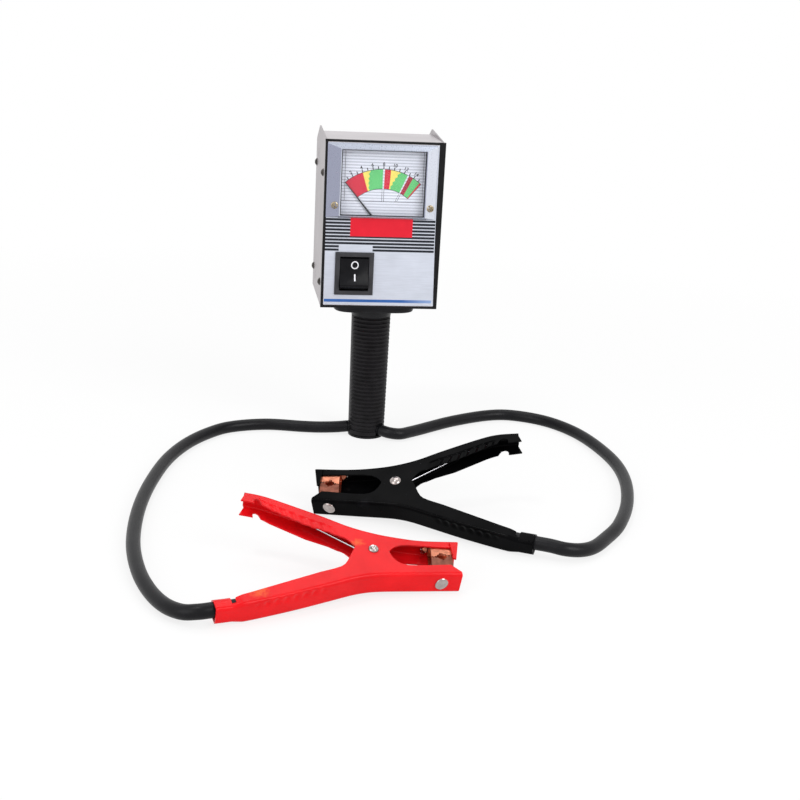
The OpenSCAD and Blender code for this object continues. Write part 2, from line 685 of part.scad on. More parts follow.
module handle_grip() color(rubber) difference() {
    r0 = grip_end_d / 2 - rib_h;
    r1 = grip_d / 2 - rib_h;
    z0 = grip_low + 4;
    union() {
        translate([0, 0, grip_low]) cylinder(h = collar_low - grip_low, r1 = r0, r2 = r1, $fn = 72);
        translate([0, 0, grip_low]) cylinder(h = 4, r = r0 + rib_h, $fn = 72);
        intersection() {
            union() for (i = [0:rib_count - 1]) translate([0, 0, z0 + 2 + i * rib_pitch]) {
                r = r0 + (r1 - r0) * i / rib_count;
                cylinder(h = 0.8, r1 = r, r2 = r + rib_h, $fn = 72);
                translate([0, 0, 0.8]) cylinder(h = rib_pitch - 2, r = r + rib_h, $fn = 72);
                translate([0, 0, rib_pitch - 1.2]) cylinder(h = 0.8, r1 = r + rib_h, r2 = r, $fn = 72);
            }
            union() {
                for (a = [-1, 1]) rotate([0, 0, a * 90]) linear_extrude(200)
                    polygon([[0, 0], [40, -90], [90, 0], [40, 90]]);
            }
        }
    }
    bar_z(0, 0, 0, collar_low + 1, tube_r);
    lead_notches(1);
}

module handle_end_cap() color(rubber) {
    bar_z(0, 0, 0, cap_t, grip_end_d / 2 - rib_h);
    difference() {
        bar_z(0, 0, cap_t - 0.5, 14, bore_r);
        bar_z(0, 0, cap_t, 15, bore_r - 1.6);
        lead_notches(2.9);
    }
}

// ---- Leads ----

lead_top = case_z + 9;

module inner_lead(az, run, start) color(rubber) rotate([0, 0, az]) {
    bar_z(run, 0, exit_z + elbow_r, lead_top, lead_r);
    translate([run + elbow_r, 0, exit_z + elbow_r]) rotate([90, 0, 0])
        rotate_extrude(angle = 90, $fn = 96) translate([-elbow_r, 0]) circle(r = lead_r, $fn = 48);
    translate([run + elbow_r, 0, exit_z]) rotate([0, 90, 0])
        cylinder(h = norm([start[0], start[1]]) - run - elbow_r, r = lead_r, $fn = 48);
}

module left_inner_lead() inner_lead(left_az, left_run, left_route[0]);
module right_inner_lead() inner_lead(right_az, right_run, right_route[0]);

module lug(x, y, to_x) {
    low = min(x, to_x) - 4;
    high = max(x, to_x) + 4;
    bar_z(x, y, lead_top, lead_top + 11, 4.2);
    box([x - 3, y, lead_top + 4], [x + 3, board_y, lead_top + 11]);
    box([low, board_y - lug_t, stud_z - 6], [high, board_y, stud_z + 6]);
}

module lead_lugs() color("peru") difference() {
    union() {
        lug(left_run * cos(left_az), left_run * sin(left_az), -stud_x);
        lug(right_run * cos(right_az), right_run * sin(right_az), stud_x);
    }
    for (x = [-1, 1]) bar_y(x * stud_x, stud_z, -20, board_y + 1, stud_r);
}

// A point of a clamp's own frame, placed on the floor
function on_floor(tail, heading, lean, p) = tail + p[0] * [cos(heading), sin(heading), 0]
    + p[1] * [-sin(heading) * cos(lean), cos(heading) * cos(lean), sin(lean)]
    + p[2] * [sin(heading) * sin(lean), -cos(heading) * sin(lean), cos(lean)];

// A lead's middle line inside its clamp: through the crimp, then up the channel's floor
lead_bed = beside(belly, clamp_t);
lead_tail = concat([[0, crimp_y], [crimp_l + 2, crimp_y]], [for (x = [24, 34, lead_stop])
    [x, height_at(lead_bed[1], lead_bed[2], x) + lead_r + 0.05]]);
red_end = [for (p = lead_tail) on_floor(red_tail, red_heading, red_lean, [p[0], p[1], mid_z])];
black_end = [for (p = lead_tail) on_floor(black_tail, black_heading, 180 - black_lean, [p[0], p[1], -mid_z])];

module outer_lead(route, az, ends) color(rubber)
    swept_tube([for (p = smooth(concat(route, ends), 2)) [p[0], p[1], max(p[2], lead_r)]], lead_r, 12,
        [cos(az), sin(az), 0], ends[4] - ends[3]);

module left_lead() outer_lead(left_route, left_az, red_end);
module right_lead() outer_lead(right_route, right_az, black_end);

// ---- Clamps ----
// x runs from the lower half's tail to its jaw, y across the halves, z across the channel

lower_edge = [[180.7, 9.5], [160, 10.2], [150, 12.5], [142.8, 17.8], [138.5, 28], [137, 39.3], [135, 42.3],
    [115.5, 42.7], [105, 31], [98.7, 23.5], [83, 20.6], [crimp_l + 3, 8]];
lower_cheek = concat([[crimp_l + 3, 0]], [for (i = [1:len(belly) - 2]) belly[i]],
    [[180.7, height_at(belly[7], belly[8], 180.7)]], lower_edge);
back_line = [[48, 115], [62, 108], [100, 79], [117, 64], [140, 48.5], [164.5, 39.4], [188, 33.8]];
upper_cheek = concat(backwards(back_line), [[40.5, 105.5], [54, 102], [111, 54], [113, 50]],
    arc_points(pivot, 10, 150, 330, 12), [[142, 33.5], [148, 35.8], [170, 30.2], [181.5, 27], [182, 17], [188, 17]]);

// A bent channel: two cheeks and the web between them
module channel(w, cheek, web_line, inward) {
    for (z = [0, w - clamp_t]) slab_z(z, clamp_t, cheek);
    slab_z(0, w, concat(web_line, backwards(beside(web_line, inward))));
}

// The lower half's crimp: a flattened tube around the lead, open along its top
module crimp() translate([0, crimp_y, mid_z]) rotate([0, 90, 0]) difference() {
    r = lead_r + clamp_t;
    union() {
        for (s = [-1, 1]) translate([s * (mid_z - r), 0, 0]) cylinder(h = crimp_l, r = r, $fn = 64);
        translate([r - mid_z, -r, 0]) cube([clamp_w - 2 * r, 2 * r, crimp_l]);
    }
    translate([0, 0, -1]) {
        for (s = [-1, 1]) translate([s * (mid_z - r), 0, 0]) cylinder(h = crimp_l + 2, r = lead_r - 0.05, $fn = 64);
        translate([r - mid_z, 0.05 - lead_r, 0]) cube([clamp_w - 2 * r, 2 * lead_r - 0.1, crimp_l + 2]);
        translate([-1.5, 0, 0]) cube([3, 20, crimp_l + 2]);
    }
}

module lower_half() difference() {
    union() {
        channel(clamp_w, lower_cheek, belly, clamp_t);
        crimp();
    }
    translate([pivot[0], pivot[1], -1]) cylinder(h = clamp_w + 2, r = rivet_r, $fn = 64);
    jaw_rivet_place(belly[7], belly[8], -1) cylinder(h = 12, r = 2, center = true, $fn = 48);
}

module upper_half() translate([0, 0, upper_z]) difference() {
    channel(upper_w, upper_cheek, back_line, -clamp_t);
    translate([pivot[0], pivot[1], -1]) cylinder(h = clamp_w + 2, r = rivet_r + pivot_play, $fn = 64);
    translate([57, 97, -1]) cylinder(h = clamp_w + 2, r = 3.6, $fn = 48);
    translate([0, 0, -upper_z]) jaw_rivet_place(back_line[5], back_line[6], 1)
        cylinder(h = 12, r = 2, center = true, $fn = 48);
}

// Puts children on a web's outer face at the jaw rivet, with +Z pointing out of it
module jaw_rivet_place(a, b, outward) translate([jaw_rivet_x, height_at(a, b, jaw_rivet_x), mid_z])
    rotate([0, 0, atan2(b[1] - a[1], b[0] - a[0])]) rotate([-90 * outward, 0, 0]) children();

module pivot_rivet() translate([pivot[0], pivot[1], 0]) difference() {
    union() {
        cylinder(h = clamp_w, r = rivet_r, $fn = 64);
        translate([0, 0, -1.4]) cylinder(h = 1.4, r1 = 4, r2 = 5, $fn = 64);
        translate([0, 0, clamp_w]) cylinder(h = 1.4, r1 = 5, r2 = 4, $fn = 64);
    }
    translate([0, 0, -3]) cylinder(h = clamp_w + 6, r = rivet_r - 1.1, $fn = 64);
}

coil_r = rivet_r + 1.1 + spring_wire / 2;
coil_z0 = 4.3;
coil_z1 = clamp_w - coil_z0;
leg_low = [82, height_at(belly[2], belly[3], 82) + clamp_t + spring_wire / 2 - 0.03];
leg_high = [90, height_at(back_line[1], back_line[2], 90) - 1.26 * (clamp_t + spring_wire / 2) - 0.12];

// Angle about the pivot at which a line to point q leaves the coil
function leave_angle(q, side) = let (d = q - pivot) atan2(d[1], d[0]) + side * acos(coil_r / norm(d));

module clamp_spring() {
    a0 = leave_angle(leg_low, 1);
    a1 = leave_angle(leg_high, -1);
    turn = a1 - a0 + 360 * ceil((1440 - a1 + a0) / 360);
    n = ceil(turn / 22.5);
    coil = [for (i = [0:n]) let (a = a0 + turn * i / n)
        [pivot[0] + coil_r * cos(a), pivot[1] + coil_r * sin(a), coil_z0 + (coil_z1 - coil_z0) * i / n]];
    path = concat([[leg_low[0], leg_low[1], coil_z0]], coil, [[leg_high[0], leg_high[1], coil_z1]]);
    swept_tube(path, spring_wire / 2, 10, coil[0] - path[0], path[n + 2] - coil[n]);
}

// A copper jaw: a channel with a vee in each cheek, its web against a half's web
module jaw(web, i, s) {
    bed = beside(web, s * clamp_t);
    base = [for (x = [jaw_x0, jaw_x1]) [x, height_at(bed[i], bed[i + 1], x) + s * 0.02]];
    vee_x = (jaw_x0 + jaw_x1) / 2 - 1;
    cheek = [base[0], base[1], [jaw_x1, parting_y], [vee_x + 3.2, parting_y], [vee_x, parting_y - s * 3],
        [vee_x - 3.2, parting_y], [jaw_x0, parting_y]];
    difference() {
        translate([0, 0, mid_z - jaw_w / 2]) {
            for (z = [0, jaw_w - jaw_t]) slab_z(z, jaw_t, cheek);
            slab_z(0, jaw_w, [base[0], base[1], base[1] + [0, s * jaw_t], base[0] + [0, s * jaw_t]]);
        }
        jaw_rivet_place(web[i], web[i + 1], -s) cylinder(h = 12, r = 2, center = true, $fn = 48);
    }
}

module lower_jaw() jaw(belly, 7, 1);
module upper_jaw() jaw(back_line, 5, -1);

module jaw_rivet(a, b, outward) jaw_rivet_place(a, b, outward) {
    intersection() {
        cylinder(h = 2.1, r = 5, $fn = 64);
        translate([0, 0, -4.9]) sphere(r = 7, $fn = 72);
    }
    translate([0, 0, -4.2]) cylinder(h = 4.3, r = 2, $fn = 48);
    translate([0, 0, -4.2]) cylinder(h = 1.2, r1 = 2.6, r2 = 3.4, $fn = 48);
}

module lower_rivet() jaw_rivet(belly[7], belly[8], -1);
module upper_rivet() jaw_rivet(back_line[5], back_line[6], 1);

conductor_x0 = lead_stop + 0.8;
conductor_line = concat([[conductor_x0, height_at(lead_bed[1], lead_bed[2], conductor_x0)]],
    [for (i = [2:7]) lead_bed[i]], [[jaw_x0 - 0.3, height_at(lead_bed[7], lead_bed[8], jaw_x0 - 0.3)]]);

module conductor() slab_z(mid_z - 3, 6, concat([for (p = conductor_line) p + [0, 0.03]],
    backwards([for (p = conductor_line) p + [0, 0.83]])));

module on_red() translate(red_tail) rotate([0, 0, red_heading]) rotate([red_lean, 0, 0]) children();
module on_black() translate(black_tail) rotate([0, 0, black_heading]) rotate([180 - black_lean, 0, 0])
    translate([0, 0, -clamp_w]) children();

module red_lower_half() color("red") on_red() lower_half();
module red_upper_half() color("red") on_red() upper_half();
module red_pivot_rivet() color(plated) on_red() pivot_rivet();
module red_spring() color(steel) on_red() clamp_spring();
module red_lower_jaw() color("peru") on_red() lower_jaw();
module red_upper_jaw() color("peru") on_red() upper_jaw();
module red_lower_rivet() color(plated) on_red() lower_rivet();
module red_upper_rivet() color(plated) on_red() upper_rivet();
module red_conductor() color("peru") on_red() conductor();
module black_lower_half() color(black_plastic) on_black() lower_half();
module black_upper_half() color(black_plastic) on_black() upper_half();
module black_pivot_rivet() color(plated) on_black() pivot_rivet();
module black_spring() color(steel) on_black() clamp_spring();
module black_lower_jaw() color("peru") on_black() lower_jaw();
module black_upper_jaw() color("peru") on_black() upper_jaw();
module black_lower_rivet() color(plated) on_black() lower_rivet();
module black_upper_rivet() color(plated) on_black() upper_rivet();
module black_conductor() color("peru") on_black() conductor();

front_chassis();
wrap_cover();
face_label();
case_screws();
meter_bezel();
meter_window();
meter_screws();
meter_housing();
dial_plate();
meter_yoke();
meter_core();
meter_bridge();
meter_needle();
moving_coil();
switch_frame();
load_rocker();
switch_terminals();
heat_shield();
load_resistor();
resistor_insulators();
resistor_screws();
terminal_board();
terminal_studs();
switch_strap();
resistor_strap();
return_strap();
handle_flange();
flange_screws();
handle_tube();
handle_grip();
handle_end_cap();
left_inner_lead();
right_inner_lead();
lead_lugs();
left_lead();
right_lead();
red_lower_half();
red_upper_half();
red_pivot_rivet();
red_spring();
red_lower_jaw();
red_upper_jaw();
red_lower_rivet();
red_upper_rivet();
red_conductor();
black_lower_half();
black_upper_half();
black_pivot_rivet();
black_spring();
black_lower_jaw();
black_upper_jaw();
black_lower_rivet();
black_upper_rivet();
black_conductor();
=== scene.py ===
"""Dresses a hand-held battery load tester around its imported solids.

The frame holds the rigid pieces. This script gives each of them its finish, rounds the
edges of the mouldings, folds the clamps, prints the face and the dial, lays the two
leads, and sets up a plain studio. Lengths are written in millimetres and turned into
metres by one constant.
"""

import json
import logging
import math
from dataclasses import dataclass
from enum import Enum
from typing import Any, Callable, Iterable, Sequence

import bmesh
import bpy
import numpy as np
from mathutils import Matrix, Vector

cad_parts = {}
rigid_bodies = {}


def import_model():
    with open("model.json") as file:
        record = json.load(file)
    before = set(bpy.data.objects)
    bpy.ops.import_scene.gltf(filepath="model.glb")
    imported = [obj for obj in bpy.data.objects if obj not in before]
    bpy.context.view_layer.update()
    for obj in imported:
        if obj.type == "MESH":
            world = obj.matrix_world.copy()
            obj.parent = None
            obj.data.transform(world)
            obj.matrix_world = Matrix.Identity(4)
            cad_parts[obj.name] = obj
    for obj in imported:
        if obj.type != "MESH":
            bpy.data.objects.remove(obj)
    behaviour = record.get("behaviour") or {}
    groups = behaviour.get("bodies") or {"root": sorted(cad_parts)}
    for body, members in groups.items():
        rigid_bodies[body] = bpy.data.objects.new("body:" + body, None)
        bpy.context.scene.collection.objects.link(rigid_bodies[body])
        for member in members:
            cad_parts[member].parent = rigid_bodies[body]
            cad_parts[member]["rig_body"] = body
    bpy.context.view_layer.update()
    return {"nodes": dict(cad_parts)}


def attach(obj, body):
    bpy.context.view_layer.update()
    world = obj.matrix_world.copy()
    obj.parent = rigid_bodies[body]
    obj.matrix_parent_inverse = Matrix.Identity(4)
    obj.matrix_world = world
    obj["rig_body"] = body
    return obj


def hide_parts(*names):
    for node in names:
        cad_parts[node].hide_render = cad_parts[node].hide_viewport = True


log = logging.getLogger("tester")
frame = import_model()

MM = 0.001
ROOT = "tester"
# Points of a solid closer than this, in metres, are one point
MERGE_DISTANCE = 2e-6
# Nearly all of a noise lies between these values
NOISE_LOW, NOISE_HIGH = 0.25, 0.75
# A clamp's width and its pivot (x, y) in its own frame, in mm
CLAMP_WIDTH = 18.5
CLAMP_PIVOT = np.array([127.0, 36.5])
# A closed shape: its points in metres, and its faces
Shape = tuple[np.ndarray, np.ndarray]
Triples = list[tuple[float, float, float]]
Tree = bpy.types.NodeTree
Socket = bpy.types.NodeSocket


# ---------------------------------------------------------------- colour and nodes

def linear(code: str) -> tuple[float, float, float, float]:
    """Turns an sRGB hex code into linear colour by the sRGB curve.

    Args:
        code: six hex digits after a '#'.

    Returns:
        Linear red, green and blue, and 1 for alpha.
    """
    digits = code.lstrip("#")
    parts = [int(digits[i:i + 2], 16) / 255 for i in (0, 2, 4)]
    curve = [c / 12.92 if c <= 0.04045 else ((c + 0.055) / 1.055) ** 2.4 for c in parts]
    return (*curve, 1.0)


def add_node(tree: Tree, kind: str, inputs: dict[Any, Any] | None = None, output: int | str = 0,
             **settings: Any) -> Socket | None:
    """Adds one shader node with its settings, values and links.

    Args:
        tree: the node tree that gets the node.
        kind: Blender's name of the node.
        inputs: socket name or index to a value, or to the socket that feeds it.
        output: the name or index of the output to give.
        settings: the node's own attributes.

    Returns:
        That output's socket, or None for a node that has no outputs.
    """
    node = tree.nodes.new(kind)
    for name, value in settings.items():
        setattr(node, name, value)
    for key, value in (inputs or {}).items():
        if isinstance(value, Socket):
            tree.links.new(value, node.inputs[key])
        else:
            node.inputs[key].default_value = value
    return node.outputs[output] if node.outputs else None


def blank_material(name: str) -> tuple[bpy.types.Material, Tree]:
    """Makes an empty node material.

    Args:
        name: its name.

    Returns:
        The material and its node tree.
    """
    made = bpy.data.materials.new(name)
    made.use_nodes = True
    made.node_tree.nodes.clear()
    return made, made.node_tree


def place_in(tree: Tree, size_mm: Sequence[float]) -> Socket:
    """Gives Object coordinates scaled so that one unit is size_mm along each axis."""
    place = add_node(tree, "ShaderNodeTexCoord", output="Object")
    scale = tuple(1 / (size * MM) for size in size_mm)
    return add_node(tree, "ShaderNodeMapping", {"Vector": place, "Scale": scale})


def distance_from(tree: Tree, point_mm: Sequence[float]) -> Socket:
    """Gives how far a surface point is from a point, in metres."""
    place = add_node(tree, "ShaderNodeTexCoord", output="Object")
    return add_node(tree, "ShaderNodeVectorMath", {0: place, 1: tuple(v * MM for v in point_mm)},
                    "Value", operation="DISTANCE")


@dataclass(frozen=True)
class Finish:
    """A real surface: its colour, how it was made, and the marks that this leaves.

    The colour drifts slowly over mottle_mm. A finer grain, grain_mm long along X, Y and
    Z, changes the colour a little, lifts the surface by bump_mm and varies the gloss.
    """

    name: str
    colour: str
    roughness: float
    metallic: float = 0.0
    specular: float = 0.5
    mottle: float = 0.08
    mottle_mm: float = 14.0
    grain: float = 0.06
    grain_mm: tuple[float, float, float] = (0.8, 0.8, 0.8)
    bump_mm: float = 0.01
    rough_range: float = 0.06

    def colour_socket(self, tree: Tree, grain: Socket) -> Socket:
        """Works out the colour: the base, shaded by the slow drift and the grain."""
        base = linear(self.colour)
        drift = add_node(tree, "ShaderNodeTexNoise", {
            "Vector": place_in(tree, (self.mottle_mm,) * 3), "Scale": 1.0, "Detail": 3.0})
        dark = (*(c * (1 - self.mottle) for c in base[:3]), 1.0)
        light = (*(min(c * (1 + self.mottle) + 0.002, 1) for c in base[:3]), 1.0)
        share = add_node(tree, "ShaderNodeMapRange", {"Value": drift, "From Min": 0.3, "From Max": 0.7})
        slow = add_node(tree, "ShaderNodeMix", {0: share, 6: dark, 7: light}, 2, data_type="RGBA")
        shade = add_node(tree, "ShaderNodeMapRange", {
            "Value": grain, "From Min": NOISE_LOW, "From Max": NOISE_HIGH,
            "To Min": 1 - self.grain, "To Max": 1 + self.grain})
        return add_node(tree, "ShaderNodeVectorMath", {0: slow, 1: shade}, operation="MULTIPLY")

    def material(self) -> bpy.types.Material:
        """Builds the material."""
        made, tree = blank_material(self.name)
        grain = add_node(tree, "ShaderNodeTexNoise", {
            "Vector": place_in(tree, self.grain_mm), "Scale": 1.0, "Detail": 4.0, "Roughness": 0.6})
        bump = add_node(tree, "ShaderNodeBump", {
            "Height": grain, "Strength": 0.6, "Distance": self.bump_mm * MM})
        gloss = add_node(tree, "ShaderNodeMapRange", {
            "Value": grain, "From Min": NOISE_LOW, "From Max": NOISE_HIGH,
            "To Min": max(self.roughness - self.rough_range, 0.02),
            "To Max": self.roughness + self.rough_range})
        surface = add_node(tree, "ShaderNodeBsdfPrincipled", {
            "Base Color": self.colour_socket(tree, grain), "Metallic": self.metallic,
            "Roughness": gloss, "Specular IOR Level": self.specular, "Normal": bump})
        add_node(tree, "ShaderNodeOutputMaterial", {"Surface": surface})
        return made


@dataclass(frozen=True)
class DippedVinyl(Finish):
    """Soft vinyl that a pressed steel clamp was dipped in: glossy, a little uneven, rubbed
    thin in places, where a warmer colour shows."""

    worn: str = "#f08a3c"
    worn_spots: tuple[tuple[float, float, float, float], ...] = ()

    def colour_socket(self, tree: Tree, grain: Socket) -> Socket:
        """Adds the rubbed places: round patches broken up by a coarse noise."""
        colour = super().colour_socket(tree, grain)
        rough = add_node(tree, "ShaderNodeTexNoise", {
            "Vector": place_in(tree, (3.0, 3.0, 3.0)), "Scale": 1.0, "Detail": 3.0})
        for *centre, radius in self.worn_spots:
            near = add_node(tree, "ShaderNodeMapRange", {
                "Value": distance_from(tree, centre), "From Min": 0.0, "From Max": radius * MM,
                "To Min": 1.0, "To Max": 0.0})
            patch = add_node(tree, "ShaderNodeMath", {0: near, 1: rough}, operation="MULTIPLY")
            share = add_node(tree, "ShaderNodeMapRange", {
                "Value": patch, "From Min": 0.2, "From Max": 0.5, "To Max": 0.4})
            colour = add_node(tree, "ShaderNodeMix", {0: share, 6: colour, 7: linear(self.worn)}, 2,
                              data_type="RGBA")
        return colour


@dataclass(frozen=True)
class RibbedPlate(Finish):
    """Painted scale plate with a fine ribbed ground, whose ribs' light and shade are painted as light
    and dark lines along X.
    """

    rib_pitch_mm: float = 2.65
    # The dark tone of the ribs' painted shade
    rib_shade: str = "#a7abbb"

    def colour_socket(self, tree: Tree, grain: Socket) -> Socket:
        """Paints the ribs' light and shade: a sine of height with the rib pitch as its period."""
        colour = super().colour_socket(tree, grain)
        height = add_node(tree, "ShaderNodeSeparateXYZ", {
            "Vector": place_in(tree, (self.rib_pitch_mm,) * 3)}, "Z")
        turn = add_node(tree, "ShaderNodeMath", {0: height, 1: math.tau}, operation="MULTIPLY")
        wave = add_node(tree, "ShaderNodeMath", {0: turn}, operation="SINE")
        share = add_node(tree, "ShaderNodeMapRange", {
            "Value": wave, "From Min": -0.2, "From Max": 0.7, "To Max": 0.65})
        return add_node(tree, "ShaderNodeMix", {0: share, 6: colour, 7: linear(self.rib_shade)}, 2,
                        data_type="RGBA")


@dataclass(frozen=True)
class MetallisedMoulding(Finish):
    """Vacuum-metallised plastic with painted light and shade on its sides: faces turned to -X are
    painted darker as shade, and faces turned to +X lighter as light."""

    # Colours of the painted shade on faces turned to -X and of the painted light on faces turned to +X
    thin: str = "#9295aa"
    thick: str = "#d6dae5"

    def colour_socket(self, tree: Tree, grain: Socket) -> Socket:
        """Paints shade on faces turned to -X and light on faces turned to +X, by how far a face is
        turned along X.
        """
        colour = super().colour_socket(tree, grain)
        facing = add_node(tree, "ShaderNodeNewGeometry", output="Normal")
        along = add_node(tree, "ShaderNodeSeparateXYZ", {"Vector": facing}, "X")
        # Mixes in the painted shade, then the painted light
        for tone, low, high, to_low, to_high in ((self.thin, -0.12, -0.02, 0.8, 0.0),
                                                 (self.thick, 0.02, 0.12, 0.0, 0.9)):
            share = add_node(tree, "ShaderNodeMapRange", {
                "Value": along, "From Min": low, "From Max": high, "To Min": to_low,
                "To Max": to_high})
            colour = add_node(tree, "ShaderNodeMix", {0: share, 6: colour, 7: linear(tone)}, 2,
                              data_type="RGBA")
        return colour


@dataclass(frozen=True)
class PrintedInk(Finish):
    """A thin printed ink: nearly even, with hardly any relief or gloss."""

    roughness: float = 0.5
    specular: float = 0.1
    mottle: float = 0.05
    grain: float = 0.05
    bump_mm: float = 0.003


@dataclass(frozen=True)
class FadingInk(PrintedInk):
    """Screen-printed ink that pales from left to right along a line."""

    pale: str = "#9db3d8"
    from_x: float = 22.0
    to_x: float = 56.0

    def colour_socket(self, tree: Tree, grain: Socket) -> Socket:
        """Blends the ink towards its pale tone by how far along X the point lies."""
        colour = super().colour_socket(tree, grain)
        place = add_node(tree, "ShaderNodeTexCoord", output="Object")
        share = add_node(tree, "ShaderNodeMapRange", {
            "Value": add_node(tree, "ShaderNodeSeparateXYZ", {"Vector": place}, "X"),
            "From Min": self.from_x * MM, "From Max": self.to_x * MM})
        return add_node(tree, "ShaderNodeMix", {0: share, 6: colour, 7: linear(self.pale)}, 2,
                        data_type="RGBA")


@dataclass(frozen=True)
class ClearPane:
    """Clear acrylic: almost no colour, so the scale behind it reads as it is, and a
    glossy face that catches the lamps."""

    name: str
    opacity: float = 0.03

    def material(self) -> bpy.types.Material:
        """Builds the material, its gloss broken by faint scuffs."""
        made, tree = blank_material(self.name)
        scuffs = add_node(tree, "ShaderNodeTexNoise", {
            "Vector": place_in(tree, (9.0, 9.0, 9.0)), "Scale": 1.0, "Detail": 5.0})
        gloss = add_node(tree, "ShaderNodeMapRange", {
            "Value": scuffs, "From Min": 0.3, "From Max": 0.8, "To Min": 0.03, "To Max": 0.12})
        surface = add_node(tree, "ShaderNodeBsdfPrincipled", {
            "Base Color": linear("#f2f4fa"), "IOR": 1.49, "Roughness": gloss, "Alpha": self.opacity})
        add_node(tree, "ShaderNodeOutputMaterial", {"Surface": surface})
        return made


class Look(Enum):
    """Every finish on the tester, by what it is on."""

    # Cold-rolled sheet, brushed up and down, under a thin warm-grey lacquer
    CASE = Finish("brushed_case_steel", "#a39da0", 0.36, metallic=0.85, mottle=0.09, mottle_mm=45,
                  grain=0.12, grain_mm=(0.9, 0.9, 30.0), bump_mm=0.02, rough_range=0.10)
    # The same sheet on the chassis, brushed across, and painted lighter than the sides as painted light
    # on its top
    CHASSIS = Finish("brushed_chassis_steel_painted_light", "#bdb8bb", 0.36, metallic=0.85, mottle=0.07,
                     mottle_mm=40, grain=0.10, grain_mm=(28.0, 0.9, 0.9), bump_mm=0.02,
                     rough_range=0.10)
    # Black with a little gloss: painted shade at the sheet's front edges and round the meter's window,
    # and the flange screws' own black
    EDGE_PAINT = Finish("painted_shade_and_screw_black", "#0d0d0f", 0.3, specular=0.18, mottle=0.2, grain=0.12,
                        grain_mm=(0.8, 0.8, 5.0), bump_mm=0.01)
    # Screen-printed aluminium foil: silver with a cold cast and a fine horizontal brush
    LABEL = Finish("printed_aluminium_label", "#cdd2de", 0.36, metallic=0.6, mottle=0.06,
                   mottle_mm=34, grain=0.07, grain_mm=(14.0, 0.7, 0.7), bump_mm=0.008)
    INK_SLATE = Finish("slate_screen_ink", "#23262d", 0.5, specular=0.2, mottle=0.15, mottle_mm=20,
                       grain=0.12, grain_mm=(6.0, 0.6, 0.6), bump_mm=0.004)
    INK_RED = PrintedInk("red_screen_ink", "#dd1c30", 0.45, specular=0.2, grain=0.04, bump_mm=0.004)
    INK_BLUE = FadingInk("blue_screen_ink", "#3361a5", 0.45, specular=0.2, grain=0.04, bump_mm=0.004)
    # Vacuum-metallised ABS moulding: soft silver, cold, with a satin sheen; its sides carry painted
    # shade and painted light
    BEZEL = MetallisedMoulding("metallised_abs_bezel", "#aab0be", 0.3, metallic=0.75, mottle=0.05,
                               mottle_mm=26, grain=0.05, grain_mm=(0.7, 0.7, 5.0), bump_mm=0.008)
    PANE = ClearPane("clear_acrylic_pane")
    DIAL = RibbedPlate("painted_dial_plate", "#e6eaf5", 0.5, specular=0.2, mottle=0.05, mottle_mm=25,
                       grain=0.03, bump_mm=0.004)
    DIAL_RED = PrintedInk("dial_red_ink", "#d41638")
    DIAL_DARK_RED = PrintedInk("dial_dark_red_ink", "#a51c38", mottle=0.06, grain=0.12,
                               grain_mm=(0.5, 0.5, 2.0))
    DIAL_YELLOW = PrintedInk("dial_yellow_ink", "#f4e36a")
    DIAL_GREEN = PrintedInk("dial_green_ink", "#62c876")
    DIAL_LINE = PrintedInk("dial_line_ink", "#20262e", mottle=0.1)
    # Zinc-plated steel: bright, with a cloudy film that has dulled
    PLATED = Finish("zinc_plated_steel", "#a39e9c", 0.3, metallic=1.0, mottle=0.22, mottle_mm=2.5,
                    grain=0.16, grain_mm=(0.7, 0.7, 0.7), bump_mm=0.02, rough_range=0.1)
    # Nickel-plated rivets: mirror-like domes with a faint haze
    NICKEL = Finish("nickel_plated_rivet", "#a9a09d", 0.13, metallic=1.0, mottle=0.15, mottle_mm=3,
                    grain=0.05, grain_mm=(0.6, 0.6, 0.6), bump_mm=0.01)
    # Yellow-passivated screws, browned in the slots
    BRASSY = Finish("yellow_passivated_screw", "#9c8f78", 0.24, metallic=1.0, mottle=0.5, mottle_mm=1.6,
                    grain=0.2, grain_mm=(0.6, 0.6, 0.6), bump_mm=0.02)
    # Blackened screws in the side panels
    DARK_SCREW = Finish("blackened_screw", "#4a4744", 0.3, metallic=1.0, mottle=0.5, mottle_mm=1.6,
                        grain=0.3, grain_mm=(0.6, 0.6, 0.6), bump_mm=0.03)
    # Injection-moulded housing behind the dial
    HOUSING = Finish("white_polystyrene_housing", "#c9cad0", 0.5, mottle=0.03, grain=0.03)
    IRON = Finish("phosphated_yoke_iron", "#3b3b40", 0.5, metallic=0.8, mottle=0.2, mottle_mm=4,
                  grain=0.15)
    BRASS = Finish("stamped_brass", "#b9964f", 0.32, metallic=1.0, mottle=0.12, mottle_mm=5, grain=0.08)
    NEEDLE = PrintedInk("lacquered_needle", "#16161a", 0.4, specular=0.2, mottle=0.1)
    # Gloss-moulded nylon: black, tight gloss, faint flow marks
    FRAME = Finish("black_nylon_frame", "#37373a", 0.4, specular=0.18, mottle=0.15, mottle_mm=10,
                   grain=0.08, grain_mm=(1.2, 1.2, 1.2), bump_mm=0.01)
    SWITCH = Finish("black_nylon_rocker", "#101013", 0.3, specular=0.09, mottle=0.25, mottle_mm=12,
                    grain=0.06, grain_mm=(2.0, 2.0, 6.0), bump_mm=0.006)
    MARK = Finish("white_pad_print", "#ededf2", 0.5, mottle=0.03, grain=0.03, bump_mm=0.003)
    # Grip rubber: dark, dry, with moulding bloom in the valleys
    GRIP = Finish("moulded_grip_rubber", "#110f12", 0.42, specular=0.18, mottle=0.4, mottle_mm=9,
                  grain=0.25, grain_mm=(0.7, 0.7, 0.7), bump_mm=0.03, rough_range=0.1)
    FLANGE = Finish("black_flange_moulding", "#17171a", 0.38, specular=0.2, mottle=0.2, grain=0.1,
                    bump_mm=0.01)
